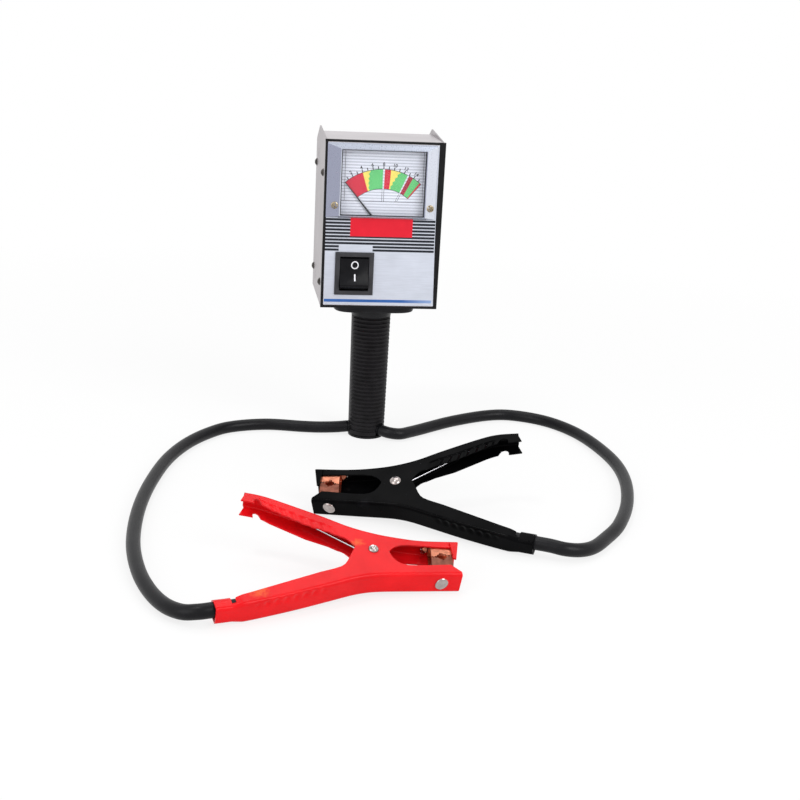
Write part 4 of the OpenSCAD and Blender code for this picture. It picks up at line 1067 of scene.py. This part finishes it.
@dataclass
class Clamp:
    """A stamped, vinyl-dipped spring clamp with copper jaws.

    reach moves the jaw end's details, and tail the upper half's tail end, along x. near is
    1 where the side at high z is the upper one as the clamp lies, and -1 otherwise.
    """

    colour: str
    dip: Look
    placed: ClampFrame
    reach: float
    tail: float
    near: int
    pivot_r: float
    domed: bool
    wall: float
    web: tuple[tuple[float, float], ...] = (
        (0, -0.7), (22, -0.6), (57, 2.9), (85, 6.9), (104, 9.7), (116, 10.2), (128, 9.0), (150, 5.3),
        (186, -0.7))
    cheek: tuple[tuple[float, float], ...] = (
        (12.02, 3.1), (14.9, 3.2), (15.0, 7.0), (15.6, 7.9), (27, 9.9), (47, 13.9), (81, 20.6),
        (92, 22.2), (98, 23.6), (101.5, 25.6), (104.5, 28.9), (115.4, 43.2), (117, 44.6), (120, 45.2),
        (134, 43.0), (136.4, 42.1), (137.5, 40.4), (137.9, 36.5), (137.8, 31), (138.5, 25.7),
        (140.2, 21.2), (143, 18.2), (147, 16.0), (153, 14.6), (162, 13.2), (180.6, 10.6))
    back: tuple[tuple[float, float], ...] = (
        (48, 118.0), (62, 112.2), (75, 103.3), (101, 82.1), (118, 67.3), (134.6, 56.4), (152, 48.3),
        (170.5, 42.0), (196.5, 36.4))
    rivet_x: float = 172.2
    coil_r: float = 5.3
    sectors: int = 48

    def reached(self, x: float) -> float:
        """Moves a point of the jaw end by the clamp's own reach, fading out towards the pivot."""
        return x + self.reach * min(max((x - 145) / 25, 0), 1)

    def moved(self, x: float) -> float:
        """Moves a point of the upper half by the reach, and at its tail end by the tail."""
        return self.reached(x) + self.tail * min(max((66 - x) / 16, 0), 1)

    def upper_edge(self) -> Triples:
        """The upper half's cheek edge: leaning tail, round notch, scallops, pivot and jaw."""
        tail = [(48, 42.5, 108.3), (54, 51.0, 104.4), (54.6, 52.6, 103.8), (55.4, 53.0, 106.2),
                (56.6, 54.5, 107.8), (58, 56.5, 107.7), (59.4, 58.3, 106), (60.2, 59.0, 103.2),
                (60.8, 59.4, 100.6)]
        # The grip's edge slopes down evenly, then steps out in front of the neck
        x = np.linspace(62, 108, 93)
        y = 98.4 - (x - 62) * 0.985 + 3.4 * np.clip((x - 88) / 14, 0, 1)
        grip = [(v, v, w) for v, w in zip(x.tolist(), y.tolist())]
        angle = np.radians(np.linspace(165, 322, 22))
        px, py = CLAMP_PIVOT
        ring = [(px + 10 * math.cos(t), py + 10 * math.sin(t)) for t in angle]
        neck = [(110, 55.2), (112, 53), (113.8, 49.5), (115.4, 45.2), (116.4, 41.2), *ring[1:],
                (138.2, 33.6), (141.5, 36.4), (145.5, 38.4), (150, 39.3), (156, 38.5), (172.3, 34.2)]
        jaw = [(184.6, 186.0, 30.6), (189.0, 190.2, 29.4), (189.3, 190.0, 28.6), (189.7, 186.4, 19.8),
               (190.2, 186.8, 18.3), (196.5, 188.4, 17.4)]
        every = [*tail, *grip, *((x, x, y) for x, y in neck), *jaw]
        return [(self.moved(a), self.moved(b), y) for a, b, y in every]

    def halves(self) -> list[bpy.types.Object]:
        """Folds the two halves."""
        c = self.colour
        web = [(self.reached(x), y) for x, y in self.web]
        edge = [(self.reached(x), self.reached(x), y) for x, y in self.cheek]
        edge.append((web[-1][0], web[-1][0] - 5, 10.2))
        lower = FoldedChannel(f"{c}_lower_half_finished", web, edge, 0, CLAMP_WIDTH, crimp_l=12,
                              pinch=1.8, waves=(26, 84, 7.2, 1.1), near=self.near)
        back = [(self.moved(x), y) for x, y in self.back]
        upper = FoldedChannel(f"{c}_upper_half_finished", back, self.upper_edge(), 1.7, 16.8, up=-1,
                              pressed=(60, 108, 0.52, 1.1, 6.2), scallops=0.9, deeper=self.wall,
                              near=self.near)
        return [lower.build(self.placed, self.dip, f"{c}_coating", f"{c}_lower_half"),
                upper.build(self.placed, self.dip, f"{c}_coating", f"{c}_upper_half")]

    def jaws(self) -> list[bpy.types.Object]:
        """Folds the two copper jaws, whose toothed edges meet."""
        made = []
        for half, look, web, edge, up in (
                ("lower", Look.OLD_COPPER, [(164.7, 4.4), (173, 3.0), (181.4, 1.6)],
                 [(164.7, 171, 23.8), (181.4, 187.4, 22.6)], 1),
                ("upper", Look.COPPER, [(175.2, 38.6), (184, 36.9), (192.6, 35.2)],
                 [(175.2, 171.2, 24.2), (192.6, 188.2, 23.0)], -1)):
            web = [(x + self.reach, y) for x, y in web]
            edge = [(a + self.reach, b + self.reach, y) for a, b, y in edge]
            node = f"{self.colour}_{half}_jaw"
            jaw = FoldedChannel(f"{node}_finished", web, toothed(edge, 2.1, up * 0.9), 3.1, 15.4,
                                up=up, sheet=1.4, bend=1.9)
            made.append(jaw.build(self.placed, look, "copper", node))
        return made

    def rivet(self, node: str, profile: Sequence[tuple[float, float]], petals: float,
              place: Callable[[np.ndarray], np.ndarray]) -> bpy.types.Object:
        """Turns one rivet, whose rings of r 2 to 3.4 swell by petals times cos(4t).

        Args:
            node: the solid that it stands for.
            profile: its profile, as (r, h) pairs.
            petals: how far the rolled rims swell, in mm.
            place: carries its points to the scene, in metres.

        Returns:
            The finished rivet.
        """
        radius, height = (np.array(v, float)[:, None] for v in zip(*profile))
        turn = np.linspace(0, math.tau, self.sectors, endpoint=False)
        rolled = (np.abs(radius - 2.7) < 0.7) * np.sign(height - CLAMP_WIDTH / 2)
        height = height + petals * rolled * np.cos(4 * turn)
        mesh = turned(f"{node}_finished", radius[:, 0], height, self.sectors, place)
        return add_piece(mesh, Look.NICKEL, body_of(node), "plated_steel", node)

    def rivets(self) -> list[bpy.types.Object]:
        """Turns the pivot rivet, a tube rolled over at both ends, and the domed jaw rivets."""
        c, g = self.colour, self.pivot_r / 4.2
        head = [(0.05, 0.3), (1.0, 0.3), (1.6, 0.5), (2.0, 1.3), (2.9, 1.8), (3.7, 1.4), (4.2, 0.4),
                (4.2, 0)]
        if self.domed:
            head = [(0.05, 2.5), (1.0, 2.45), (2.0, 2.2), (3.0, 1.7), (3.8, 1.0), (4.2, 0.4), (4.2, 0)]
        low = [(r * g, -h) for r, h in head]
        high = [(r * g, CLAMP_WIDTH + h) for r, h in reversed(head)]
        petals = 0.0 if self.domed else 0.25
        made = [self.rivet(f"{c}_pivot_rivet", [*low, (3.1, 0), (3.1, CLAMP_WIDTH), *high], petals,
                           lambda v: self.placed.place(v + [*CLAMP_PIVOT, 0]))]
        dome = [(0.05, 2.0), (1.6, 1.9), (3.2, 1.5), (4.5, 0.9), (5.4, 0.2), (5.5, -0.1), (2.4, -0.1),
                (2.4, -2.9), (3.3, -2.9), (3.1, -3.7), (0.05, -3.7)]
        x, z = self.rivet_x + self.reach, 8.7
        for half, line, way in (("lower", self.web, -1), ("upper", self.back, 1)):
            y = float(np.interp(x, *zip(*line)))
            made.append(self.rivet(f"{c}_{half}_rivet", dome, 0.0, lambda v: self.placed.place(
                np.stack([x + v[:, 0], y + way * v[:, 2], z + v[:, 1]], axis=1))))
        return made

    def spring(self) -> list[bpy.types.Object]:
        """Winds the torsion spring: its coil with the lower leg, and the upper leg.

        The coil is (127 + r cos t, 36.5 + r sin t, z), z rising evenly with t. A leg leaves it
        along its tangent. The upper leg is a piece of its own, with some of the coil's last
        turn, so that it turns about the pivot with the upper half.
        """
        c, r, centre = self.colour, self.coil_r, CLAMP_PIVOT
        ends = [np.array([82.0, float(np.interp(82, *zip(*self.web))) + 2.2]),
                np.array([90.0, float(np.interp(90, *zip(*self.back))) - 2.9])]
        # Where the coil starts and ends across the clamp
        low_z, high_z = (14.2, 6.4) if self.near == 1 else (4.3, 14.2)
        a, b = (math.atan2(*(q - centre)[::-1]) + way * math.acos(r / math.dist(q, centre))
                for q, way in zip(ends, (1, -1)))
        b += math.tau * math.ceil((4 * math.tau - b + a) / math.tau)
        t = np.linspace(a, b, 180)
        coil = np.stack([centre[0] + r * np.cos(t), centre[1] + r * np.sin(t),
                         low_z + (high_z - low_z) * (t - a) / (b - a)], axis=1)
        lower = self.placed.place(np.vstack([[*ends[0], low_z], coil]))
        upper = self.placed.place(np.vstack([coil[-6:], [*ends[1], high_z]]))
        made = []
        for name, path, wire, half, replaced in (("spring", lower, 1.0, "lower", [f"{c}_spring"]),
                                                 ("spring_leg", upper, 0.97, "upper", [])):
            mesh = creased(tube_mesh(f"{c}_{name}_finished", path, wire * MM, sides=14,
                                     first=path[1] - path[0], last=path[-1] - path[-2]))
            made.append(add_piece(mesh, Look.SPRING, body_of(f"{c}_{half}_half"), "spring_steel",
                                  *replaced))
        return made

    def build(self) -> list[bpy.types.Object]:
        """Builds and dresses the clamp's pieces.

        Returns:
            Every visible piece.
        """
        c = self.colour
        dress_nodes(Look.COPPER, f"{c}_conductor")
        return [*self.halves(), *self.jaws(), *self.rivets(), *self.spring(),
                frame["nodes"][f"{c}_conductor"]]


@dataclass
class Case:
    """The sheet-steel case with its printed face."""

    bottom: float = 139.0
    label_front: float = -48.8
    ink_t: float = 0.05
    left: float = -52.0
    right: float = 48.6
    stripe_count: int = 10
    stripe_low: float = 52.7
    stripe_high: float = 83.2
    stripe_share: float = 0.66
    red_block: tuple[float, float, float, float] = (-28.6, 66.2, 27.9, 82.9)
    caption_place: tuple[float, float] = (-38.4, -7.6)
    gap_stripes: int = 2
    blue_line: tuple[float, float, float, float] = (-50.2, 5.4, 49.0, 8.1)

    def ink(self, name: str, look: Look, rects: Sequence[Sequence[float]], lift: float = 0.0) -> None:
        """Prints rectangles on the face.

        Args:
            name: the print's name.
            look: its ink.
            rects: the rectangles (x0, z0, x1, z1), heights above the case's bottom.
            lift: how far in front of the face they lie, in mm.
        """
        front = self.label_front - self.ink_t - lift
        back, low = self.label_front - lift, self.bottom
        shapes = [slab((x0, front, z0 + low), (x1, back, z1 + low)) for x0, z0, x1, z1 in rects]
        add_print(joined(name, shapes), look, "face_print")

    def stripes(self) -> None:
        """Prints the dark stripes, broken by the switch's caption place."""
        pitch = (self.stripe_high - self.stripe_low) / self.stripe_count
        rects = []
        for i in range(self.stripe_count):
            z0 = self.stripe_low + i * pitch
            z1 = z0 + pitch * self.stripe_share
            spans = [(self.left, self.right)]
            if i < self.gap_stripes:
                spans = [(self.left, self.caption_place[0]), (self.caption_place[1], self.right)]
            rects += [(x0, z0, x1, z1) for x0, x1 in spans]
        self.ink("face_stripes", Look.INK_SLATE, rects)

    def edges(self) -> None:
        """Paints shade in black along the sheet's front edges: thin on three sides, a wide band on the
        right.

        Each band is a ribbon between an inner and an outer line of (x, z) points.
        """
        left, right, low, top = -53.25, 54.2, self.bottom, 290.9
        front, back = self.label_front - 0.12, self.label_front + 2.6
        # The right band of painted shade, wider at the top than at the bottom
        wide = [(51.0, low), (50.6, 149.0), (49.1, 205.0), (48.7, 240.0), (48.5, top)]
        bands = [
            ([(-50.9, low), (-50.9, top)], [(left, low), (left, top)]),
            ([(left, 288.9), (right, 288.9)], [(left, top), (right, top)]),
            ([(left, low), (right, low)], [(left, 141.2), (right, 141.2)]),
            (wide, [(right, z) for _, z in wide])]
        shapes = [ribbon(np.array(inner), np.array(outer), front - 0.01 * i, back)
                  for i, (inner, outer) in enumerate(bands)]
        # The bands are black sheets of painted shade in front of the face's edges
        add_print(outward(joined("front_edge_painted_shade", shapes)), Look.EDGE_PAINT, "sheet_steel")

    def build(self) -> None:
        """Dresses the sheet metal and prints the face."""
        pierced_sheet("wrap_cover", Look.CASE)
        pierced_sheet("front_chassis", Look.CHASSIS)
        dress_nodes(Look.LABEL, "face_label")
        dress_nodes(Look.DARK_SCREW, "case_screws")
        self.stripes()
        self.edges()
        self.ink("face_red_block", Look.INK_RED, [self.red_block], lift=0.03)
        self.ink("face_blue_line", Look.INK_BLUE, [self.blue_line])


@dataclass
class Meter:
    """The needle meter: bezel, pane, printed scale, needle and movement."""

    pivot: float = 212.4
    dial_y: float = -43.5
    ink_t: float = 0.05
    outer: float = 52.9
    inner: float = 35.4
    swing: float = 40.3
    steps: int = 28
    tick_deg: float = 5.17
    number_r: float = 57.3
    number_mm: float = 4.2
    number_bold: float = 0.09
    zone_rows: int = 12
    zone_waves: float = 4.5

    def at(self, radius: np.ndarray | float, angle_deg: np.ndarray | float) -> np.ndarray:
        """Points (x, z) at a radius and an angle clockwise from straight up."""
        angle = np.radians(angle_deg)
        x, z = radius * np.sin(angle), self.pivot + radius * np.cos(angle)
        return np.stack(np.broadcast_arrays(x, z), axis=-1)

    def tick(self, number: int) -> float:
        """Gives the angle of a scale number, 8 being in the middle."""
        return (number - 8) * self.tick_deg

    def zone(self, start: tuple[float, float], end: tuple[float, float],
             waves: tuple[float, float] = (0.0, 0.0)) -> Shape:
        """A coloured zone of the scale.

        Each side is a line of angles over the radius, from its inner to its outer value,
        with waves[0] or waves[1] degrees of a sine along it. The zone is carried from the
        first side to the second as a band of radii.

        Args:
            start: the first side's angles at the inner and the outer radius.
            end: the second side's angles at the inner and the outer radius.
            waves: how far each side waves, in degrees.

        Returns:
            Points in metres and quads of a thin closed plate.
        """
        share = np.linspace(0, 1, self.steps)
        radius = self.inner + (self.outer - self.inner) * share
        wave = np.sin(share * math.tau * self.zone_waves)
        sides = [a + (b - a) * share + w * wave for (a, b), w in zip((start, end), waves)]
        across = np.linspace(0, 1, self.zone_rows)[:, None]
        angle = sides[0] + (sides[1] - sides[0]) * across
        flat = self.at(np.broadcast_to(radius, angle.shape), angle)
        front, back = self.dial_y - self.ink_t, self.dial_y + 0.02
        flat = flat.reshape(-1, 2)
        points = np.vstack([np.insert(flat, 1, y, axis=1) for y in (front, back)]) * MM
        rows, columns = angle.shape
        sheet = faces_of_grid(rows, columns, wrap=False)
        rim = np.concatenate([np.arange(columns), np.arange(1, rows) * columns + columns - 1,
                              np.arange(columns - 2, -1, -1) + (rows - 1) * columns,
                              np.arange(rows - 2, 0, -1) * columns])
        following = np.roll(rim, -1)
        size = rows * columns
        edge = np.stack([rim, following, following + size, rim + size], axis=1)
        return points, np.vstack([sheet, sheet[:, ::-1] + size, edge])

    def print_zones(self, name: str, look: Look, zones: Sequence[tuple]) -> None:
        """Prints zones of one colour."""
        add_print(outward(joined(name, [self.zone(*zone) for zone in zones])), look, "dial")

    def arc(self, radius: float, start: float, end: float, width: float) -> Shape:
        """A printed line along an arc."""
        angle = np.linspace(start, end, 40)
        return ribbon(self.at(radius - width / 2, angle), self.at(radius + width / 2, angle),
                      self.dial_y - self.ink_t - 0.02, self.dial_y)

    def stroke(self, a: Sequence[float], b: Sequence[float], width: float) -> Shape:
        """A printed straight line.

        Args:
            a: its start (x, z).
            b: its end (x, z).
            width: its width, in mm.

        Returns:
            Points in metres and quads of a thin closed plate.
        """
        ends = np.array([a, b], float)
        along = ends[1] - ends[0]
        across = np.array([-along[1], along[0]]) / np.linalg.norm(along) * width / 2
        return ribbon(ends - across, ends + across, self.dial_y - self.ink_t - 0.02, self.dial_y)

    def lines(self) -> None:
        """Prints the scale's outlines, its ticks and the frame lines."""
        shapes = [self.arc(r, a, b, 0.45) for r in (self.outer, self.inner)
                  for a, b in ((-self.swing, -0.7), (1.2, 24.6), (26.2, self.swing))]
        for n in range(1, 16):
            foot, head = (self.at(radius, self.tick(n)) for radius in (self.outer, self.outer + 2.8))
            shapes.append(self.stroke(foot, head, 0.8))
        low, top, wide, fine = 236.2, 281.0, 0.35, 0.3
        ends = [(self.at(self.outer, self.swing), self.at(self.inner, self.swing), wide),
                ((-37.5, low), (37.8, low), wide), ((-34.6, low), (-34.6, top), fine),
                ((36.0, low), (36.0, top), fine)]
        ends += [((x, low), (x, self.pivot + self.inner), fine) for x in (-0.8, 0.9)]
        ends += [((x - 3.4, low), (x, 243.6), fine) for x in (14.6, 16.2)]
        shapes += [self.stroke(*line) for line in ends]
        add_print(outward(joined("dial_lines", shapes)), Look.DIAL_LINE, "dial")

    def numbers(self) -> None:
        """Prints the even numbers of the scale around its arc."""
        parts = []
        for n in range(2, 15, 2):
            text = bpy.data.curves.new(f"number_{n}", "FONT")
            text.body, text.size = str(n), self.number_mm * MM
            text.align_x, text.align_y = "CENTER", "CENTER"
            text.extrude = self.ink_t * MM
            text.offset = self.number_bold * MM
            carrier = bpy.data.objects.new(f"number_{n}", text)
            mesh = bpy.data.meshes.new_from_object(carrier)
            bpy.data.objects.remove(carrier)
            x, z = self.at(self.number_r, self.tick(n))
            lean = Matrix.Rotation(math.radians(self.tick(n)), 4, "Y")
            upright = lean @ Matrix.Rotation(math.pi / 2, 4, "X")
            centre = Vector((x, self.dial_y - self.ink_t, z)) * MM
            mesh.transform(Matrix.Translation(centre) @ upright)
            parts.append(mesh)
        work = bmesh.new()
        for mesh in parts:
            work.from_mesh(mesh)
            bpy.data.meshes.remove(mesh)
        bmesh.ops.remove_doubles(work, verts=work.verts, dist=1e-7)
        mesh = bpy.data.meshes.new("dial_numbers")
        work.to_mesh(mesh)
        work.free()
        add_piece(mesh, Look.DIAL_LINE, ROOT, "dial")

    def bezel(self) -> None:
        """Builds the mitred bezel as a ring of four sides carried around the window.

        Going round the ring, each corner is a row; across it lie the foot, the land, the
        sloping face, the crown and the window's reveal, at their own depths.
        """
        foot, window = (-51.3, 222.2, 47.6, 288.0), (-38.7, 224.2, 37.3, 282.6)
        loops = [(foot, -48.8), (foot, -50.0), ((-50.5, 222.4, 46.8, 287.3), -50.6),
                 ((-39.8, 223.6, 38.4, 283.6), -51.9), ((-39.3, 223.9, 37.9, 283.1), -52.0),
                 (window, -51.7), (window, -48.8)]
        corners = [[(x0, z0), (x1, z0), (x1, z1), (x0, z1)] for (x0, z0, x1, z1), _ in loops]
        points = np.array([[(x, y, z) for x, z in ring] for ring, (_, y) in zip(corners, loops)])
        points = points.transpose(1, 0, 2).reshape(-1, 3) * MM
        faces = faces_of_grid(5, len(loops), wrap=True) % len(points)
        mesh = outward(mesh_from("meter_bezel_finished", points, faces))
        mesh.shade_flat()
        rounded(add_piece(mesh, Look.BEZEL, ROOT, "bezel", "meter_bezel"), 0.4, segments=2, angle_deg=40)

    def gasket(self) -> None:
        """Lays a thin black ring of painted shade between the bezel's window and the pane."""
        left, low, right, top = -38.72, 224.18, 37.32, 282.62
        outer = np.array([(left, low), (right, low), (right, top), (left, top), (left, low)])
        inset = np.array([(0.75, 0.6), (-0.75, 0.6), (-0.75, -0.6), (0.75, -0.6), (0.75, 0.6)])
        # A black sheet of painted shade round the window's edge
        mesh = mesh_from("window_shade_ring", *ribbon(outer + inset, outer, -50.6, -48.85))
        add_print(outward(mesh), Look.EDGE_PAINT, "black_plastic")

    def screws(self) -> None:
        """Turns the two cross-slotted pan heads that hold the bezel.

        A head's height is 1.6 sqrt(1 - (r / 3.7)^2), less 1.4 where |u| or |v| is below
        0.6 and r below 2.5, u and v being the point turned by 25 degrees.
        """
        dome_h, dome_r, slot_half, slot_r, slot_depth, rim_h, sectors = 1.6, 3.7, 0.6, 2.5, 1.4, -0.6, 96
        radius = np.concatenate([[0.05], np.linspace(0.2, 3.2, 26), [3.2]])
        turn = np.linspace(0, math.tau, sectors, endpoint=False)
        u, v = (radius[:, None] * f(turn + math.radians(25)) for f in (np.cos, np.sin))
        slot = ((np.abs(u) < slot_half) | (np.abs(v) < slot_half)) & (radius[:, None] < slot_r)
        height = dome_h * np.sqrt(1 - (radius[:, None] / dome_r) ** 2) - slot_depth * slot
        height[-1] = rim_h
        for name, x, z, replaced in (("left_bezel_screw", -43.8, 233.3, ["meter_screws"]),
                                     ("right_bezel_screw", 42.6, 232.4, [])):
            mesh = turned(name, radius, height, sectors, lambda p: (
                np.stack([x + p[:, 0], -51.3 - p[:, 2], z + p[:, 1]], axis=1) * MM))
            add_piece(mesh, Look.BRASSY, ROOT, "plated_steel", *replaced)

    def build(self) -> None:
        """Builds the printed scale and dresses the meter."""
        self.bezel()
        self.gasket()
        self.screws()
        dress_nodes(Look.PANE, "meter_window")
        dress_nodes(Look.HOUSING, "meter_housing")
        dress_nodes(Look.DIAL, "dial_plate")
        dress_nodes(Look.IRON, "meter_yoke", "meter_core")
        dress_nodes(Look.BRASS, "meter_bridge")
        dress_nodes(Look.COPPER, "moving_coil")
        dress_nodes(Look.NEEDLE, "meter_needle")
        low, high = -self.swing, self.swing
        self.print_zones("dial_red_zones", Look.DIAL_RED, [
            ((low, low), (-22.4, -20.8)), ((1.2, 1.2), (8.9, 7.1)), ((38.9, 38.3), (high, high))])
        self.print_zones("dial_yellow_zones", Look.DIAL_YELLOW, [
            ((-22.4, -20.8), (-20.6, -13.5), (0, 0.7)), ((8.9, 7.1), (9.4, 16.6), (0, 0.7))])
        self.print_zones("dial_green_zones", Look.DIAL_GREEN, [
            ((-20.6, -13.5), (-0.7, -0.7), (0.7, 0)), ((9.4, 16.6), (24.8, 24.4), (0.7, 0)),
            ((32.0, 30.4), (38.9, 38.3))])
        self.print_zones("dial_dark_red_zone", Look.DIAL_DARK_RED, [((26.4, 26.0), (32.0, 30.4))])
        self.lines()
        self.numbers()


@dataclass
class LoadSwitch:
    """The sprung load switch: frame, rocker and its two printed marks."""

    centre_x: float = -23.6
    centre_z: float = 171.0
    valley: tuple[float, float] = (-50.0, 0.6)
    top: tuple[float, float] = (-51.4, 13.2)
    proud: tuple[float, float] = (-55.4, -9.4)

    def on_face(self, top_side: bool, u: np.ndarray, w: np.ndarray, lift: float) -> np.ndarray:
        """Places flat marks on one of the rocker's two sloping faces.

        A point lies at centre_x + u, at height w above the pivot, on the straight line
        from the valley to that face's far edge, moved out by lift.

        Args:
            top_side: True for the upper face, False for the lower one.
            u: distances across, in mm.
            w: heights above the pivot, in mm.
            lift: how far in front of the face, in mm.

        Returns:
            The points, in metres.
        """
        far = self.top if top_side else self.proud
        slope = (far[0] - self.valley[0]) / (far[1] - self.valley[1])
        y = self.valley[0] + slope * (w - self.valley[1]) - lift
        return np.stack([self.centre_x + u, y, self.centre_z + w], axis=-1) * MM

    def mark(self, name: str, top_side: bool, inner: np.ndarray, outer: np.ndarray,
             closed: bool) -> None:
        """Prints one mark, a band between two lines.

        Args:
            name: the mark's name.
            top_side: True for the rocker's upper face, False for the lower one.
            inner: the (u, w) points of one line, as on_face takes them.
            outer: as many points of the other line.
            closed: whether the band joins its own start.
        """
        loops = [(inner, 0.06), (outer, 0.06), (outer, -0.02), (inner, -0.02)]
        points = np.stack([self.on_face(top_side, *line.T, lift) for line, lift in loops], axis=1)
        count = len(inner)
        if closed:
            faces = faces_of_grid(count + 1, 4, wrap=True) % (count * 4)
        else:
            faces = np.vstack([faces_of_grid(count, 4, wrap=True), end_caps(count, 4)])
        mesh = outward(mesh_from(name, points.reshape(-1, 3), faces))
        add_print(mesh, Look.MARK, "face_print", "load_rocker")

    def build(self) -> None:
        """Dresses the switch and prints its marks."""
        softened("switch_frame", Look.FRAME, "black_plastic", 0.35)
        softened("load_rocker", Look.SWITCH, "black_plastic", 0.4)
        dress_nodes(Look.BRASS, "switch_terminals")
        angle = np.linspace(0, math.tau, 48, endpoint=False)
        ring = np.stack([np.cos(angle), np.sin(angle)], axis=1)
        centre = np.array([0.3, 8.2])
        inner, outer = centre + ring * [2.45, 2.75], centre + ring * [3.45, 3.75]
        self.mark("switch_off_mark", True, inner, outer, closed=True)
        bar = np.array([[0.5, -6.0], [0.5, -0.3]])
        self.mark("switch_on_mark", False, bar - [0.62, 0], bar + [0.62, 0], closed=False)


@dataclass
class LoadCircuit:
    """The load resistor and its wiring behind the heat shield."""

    def build(self) -> None:
        """Dresses the inner pieces."""
        dress_nodes(Look.CASE, "heat_shield")
        dress_nodes(Look.ELEMENT, "load_resistor")
        dress_nodes(Look.CERAMIC, "resistor_insulators")
        dress_nodes(Look.PLATED, "resistor_screws")
        dress_nodes(Look.BOARD, "terminal_board")
        dress_nodes(Look.BRASS, "terminal_studs")
        dress_nodes(Look.COPPER, "switch_strap", "resistor_strap", "return_strap", "lead_lugs")
        dress_nodes(Look.JACKET, "left_inner_lead", "right_inner_lead")


@dataclass
class Handle:
    """The ribbed grip on its steel tube, with the flange that carries the case."""

    sectors: int = 96
    flange_rings: tuple[tuple[float, float, float, float], ...] = (
        (38, 31, 5, 138.8), (38, 31, 5, 131), (37.6, 30.6, 5, 130), (36.8, 29.8, 4.8, 129.5),
        (35.6, 28.6, 4.6, 129.4), (34.6, 27.6, 4.5, 130), (33, 27, 4.4, 130.7), (24, 23, 3, 130.2),
        (20.6, 20.6, 2, 128.8), (19.4, 19.4, 2, 126), (18.8, 18.8, 2, 121.2), (18.2, 18.2, 2, 120.6),
        (15.6, 15.6, 2, 120.6), (15.6, 15.6, 2, 138.8))

    def flange(self) -> None:
        """Moulds the flange: rounded-square rings that narrow to a round neck, with a bore.

        A ring's points are (a |cos t|^(2/n) sgn(cos t), b |sin t|^(2/n) sgn(sin t), z), for
        half-sizes a and b and squareness n.
        """
        turn = np.linspace(0, math.tau, self.sectors, endpoint=False)
        a, b, n, z = np.array(self.flange_rings).T[:, :, None]
        x, y = (size * np.abs(f(turn)) ** (2 / n) * np.sign(f(turn))
                for size, f in ((a, np.cos), (b, np.sin)))
        points = np.stack([x, y, z + 0 * turn], axis=-1).reshape(-1, 3)
        faces = faces_of_grid(len(z) + 1, self.sectors, wrap=True) % len(points)
        mesh = outward(mesh_from("handle_flange_finished", points * MM, faces))
        add_piece(creased(mesh), Look.FLANGE, ROOT, "black_plastic", "handle_flange")

    def build(self) -> None:
        """Builds the flange and dresses the handle's pieces."""
        self.flange()
        dress_nodes(Look.EDGE_PAINT, "flange_screws")
        dress_nodes(Look.PLATED, "handle_tube")
        dress_nodes(Look.GRIP, "handle_grip", "handle_end_cap")


LEFT_ROUTE = [
    (-19, -1.3, 8), (-30, -1, 7), (-46, 1, 6), (-63, 4, 5.6), (-98, 10, 5.6), (-132, 2, 5.6),
    (-154, -17, 5.6), (-174, -47, 5.6), (-190, -87, 5.6), (-201, -135, 5.6), (-208, -183, 5.6),
    (-211, -231, 5.6), (-210, -277, 5.6), (-204, -319, 5.6), (-195, -351, 5.6), (-184, -375, 6.4),
    (-172, -390, 8.4), (-161, -394.6, 10.4), (-150.41, -393.21, 10.9), (-136.86, -389.68, 10.9),
    (-127.25, -386.92, 10.98), (-117.81, -383.48, 11.29), (-108.37, -380.04, 11.6),
    (-99.45, -376.79, 11.89)]
RIGHT_ROUTE = [
    (13, -13.9, 8), (21, -20, 7.4), (31, -20.5, 6.6), (42, -13, 6), (54, -4, 5.6), (92, 22, 5.6),
    (132, 40, 5.6), (160, 39, 5.6), (191, 18, 5.6), (213, -23, 5.6), (224, -85, 5.6),
    (221, -139, 5.6), (206, -195, 5.6), (184, -243, 5.6), (163, -272, 5.6), (149, -288, 6.2),
    (136, -297, 8), (123, -299.5, 10), (111.5, -295, 11.2), (100.72, -289.6, 11.28),
    (88.37, -283.0, 11.28), (79.65, -278.09, 11.39), (71.26, -272.58, 11.82),
    (62.86, -267.08, 12.25), (54.92, -261.87, 12.66)]


def main() -> None:
    """Builds the studio, the leads and clamps, then the tester itself."""
    logging.basicConfig(level=logging.INFO, format="%(name)s: %(message)s")
    Studio().build()
    red = Clamp("red", Look.RED_DIP, ClampFrame((-149.5, -396.7, 0), 14.6, 18),
                reach=-2.0, tail=3.5, near=1, pivot_r=3.9, domed=False, wall=5.0).build()
    black = Clamp("black", Look.BLACK_DIP, ClampFrame((99.7, -291.5, 0), 151.9, 154.5, CLAMP_WIDTH),
                  reach=2.0, tail=-3.5, near=-1, pivot_r=4.8, domed=True, wall=9.0).build()
    Lead("red_clamp_lead", "left_lead", 184, LEFT_ROUTE, (0.939, 0.3424, 0.0308)).build(red)
    Lead("black_clamp_lead", "right_lead", -47, RIGHT_ROUTE, (-0.8354, 0.5479, 0.0428)).build(black)
    Case().build()
    Meter().build()
    LoadSwitch().build()
    LoadCircuit().build()
    Handle().build()


if __name__ == "__main__":
    main()
